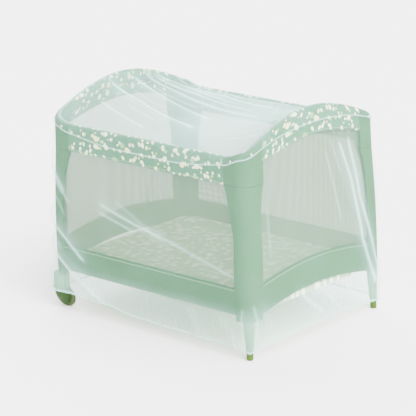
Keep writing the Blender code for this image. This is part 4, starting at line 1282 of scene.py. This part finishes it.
class PLAYPEN_OT_hard_parts(bpy.types.Operator):
    """Finish the legs, feet and wheels"""

    bl_idname = "playpen.hard_parts"
    bl_label = "Legs, feet and wheels"

    def execute(self, context):
        # Moulded polypropylene in four greens: a fine spark-eroded grain and a dull shine
        leg = moulded("Moulded_Leg_Polypropylene", "#4F7B48", 0.60, 0.0012)
        foot = moulded("Moulded_Foot_Polypropylene", "#3E571C", 0.55, 0.0010)
        housing = moulded("Moulded_Housing_Polypropylene", "#273C1A", 0.50, 0.0010)
        tread = moulded("Moulded_Wheel_Polypropylene", "#42532F", 0.60, 0.0010)
        steel = turned_steel()
        finishes = {"Leg": leg, "Foot": foot, "Wheel_Housing": housing, "Wheel": tread, "Axle": steel}
        for name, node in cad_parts.items():
            kind = name.rpartition("_")[0]
            if kind in finishes:
                for slot in node.material_slots:
                    slot.material = finishes[kind]
        return {"FINISHED"}


class PLAYPEN_OT_stage(bpy.types.Operator):
    """Set the floor, the light and the camera"""

    bl_idname = "playpen.stage"
    bl_label = "Stage"

    def execute(self, context):
        stage = context.scene.playpen_stage
        scene = context.scene
        material = new_material("Pale_Floor", Base_Color=(*stage.floor, 1.0), Roughness=0.9)[0]
        mesh = bpy.data.meshes.new("Floor")
        mesh.from_pydata([(-30, -30, 0), (30, -30, 0), (30, 30, 0), (-30, 30, 0)], [], [(0, 1, 2, 3)])
        mesh.materials.append(material)
        floor = bpy.data.objects.new("Floor", mesh)
        scene.collection.objects.link(floor)
        world = bpy.data.worlds.new("Soft_Surround")
        world.use_nodes = True
        background = world.node_tree.nodes["Background"]
        background.inputs["Color"].default_value = (1.0, 1.0, 1.0, 1.0)
        background.inputs["Strength"].default_value = stage.ambient
        scene.world = world
        for name, place, angle, share in (
            ("Key", (1.1, -0.6, 1.2), 40, 1.0),
            ("Side", (1.3, 0.3, 1.2), 60, 0.5),
            ("Back", (-1.0, 0.9, 1.4), 60, 0.5),
        ):
            data = bpy.data.lights.new(name, "SUN")
            data.angle = math.radians(angle)
            data.energy = stage.key * share
            lamp = bpy.data.objects.new(name, data)
            lamp.location = place
            lamp.rotation_euler = (-Vector(place)).to_track_quat("-Z", "Y").to_euler()
            scene.collection.objects.link(lamp)
        place_camera(scene)
        return {"FINISHED"}


def place_camera(scene):
    """Camera fitted to the photograph: azimuth, elevation, roll, distance and focal length in its pixels."""
    azimuth, elevation, roll = (math.radians(angle) for angle in (42.816, 16.813, -1.999))
    distance, focal, centre_x, centre_y, target = 9.0, 2336.4, 214.62, 209.47, 0.40
    back = Vector((math.sin(azimuth) * math.cos(elevation), -math.cos(azimuth) * math.cos(elevation),
                   math.sin(elevation)))
    level = Vector((math.cos(azimuth), math.sin(azimuth), 0.0))
    upright = back.cross(level)
    right = math.cos(roll) * level + math.sin(roll) * upright
    up = -math.sin(roll) * level + math.cos(roll) * upright
    data = bpy.data.cameras.new("Photo_Camera")
    data.sensor_width = 36.0
    data.lens = focal * 36.0 / PHOTO_PIXELS
    data.shift_x = -(centre_x - PHOTO_PIXELS / 2) / PHOTO_PIXELS
    data.shift_y = (centre_y - PHOTO_PIXELS / 2) / PHOTO_PIXELS
    data.clip_end = 100.0
    camera = bpy.data.objects.new("Photo_Camera", data)
    camera.matrix_world = Matrix.Translation(Vector((0, 0, target)) + distance * back) @ Matrix(
        (right, up, back)).transposed().to_4x4()
    scene.collection.objects.link(camera)
    bpy.context.scene.camera = camera


class PLAYPEN_PT_panel(bpy.types.Panel):
    """Lists the playpen's pieces"""

    bl_idname = "PLAYPEN_PT_panel"
    bl_label = "Playpen"
    bl_space_type = "VIEW_3D"
    bl_region_type = "UI"
    bl_category = "Playpen"

    def draw(self, context):
        for operator in OPERATORS:
            self.layout.operator(operator.bl_idname)
        for group in GROUPS:
            settings = getattr(context.scene, group)
            for key in settings.__annotations__:
                self.layout.prop(settings, key)


OPERATORS = (
    PLAYPEN_OT_stage,
    PLAYPEN_OT_padding,
    PLAYPEN_OT_sides,
    PLAYPEN_OT_mat,
    PLAYPEN_OT_hard_parts,
    PLAYPEN_OT_net,
    PLAYPEN_OT_trimmings,
)
GROUPS = {
    "playpen_net": PlaypenNet,
    "playpen_padding": PlaypenPadding,
    "playpen_stage": PlaypenStage,
}


def register():
    for cls in (*GROUPS.values(), *OPERATORS, PLAYPEN_PT_panel):
        bpy.utils.register_class(cls)
    for name, cls in GROUPS.items():
        setattr(bpy.types.Scene, name, bpy.props.PointerProperty(type=cls))


def unregister():
    for name in GROUPS:
        delattr(bpy.types.Scene, name)
    for cls in (PLAYPEN_PT_panel, *reversed(OPERATORS), *reversed(list(GROUPS.values()))):
        bpy.utils.unregister_class(cls)


def main():
    """Build every piece in order."""
    register()
    bpy.ops.playpen.stage()
    bpy.ops.playpen.padding()
    bpy.ops.playpen.sides()
    bpy.ops.playpen.mat()
    bpy.ops.playpen.hard_parts()
    bpy.ops.playpen.net()
    bpy.ops.playpen.trimmings()


if __name__ == "__main__":
    main()
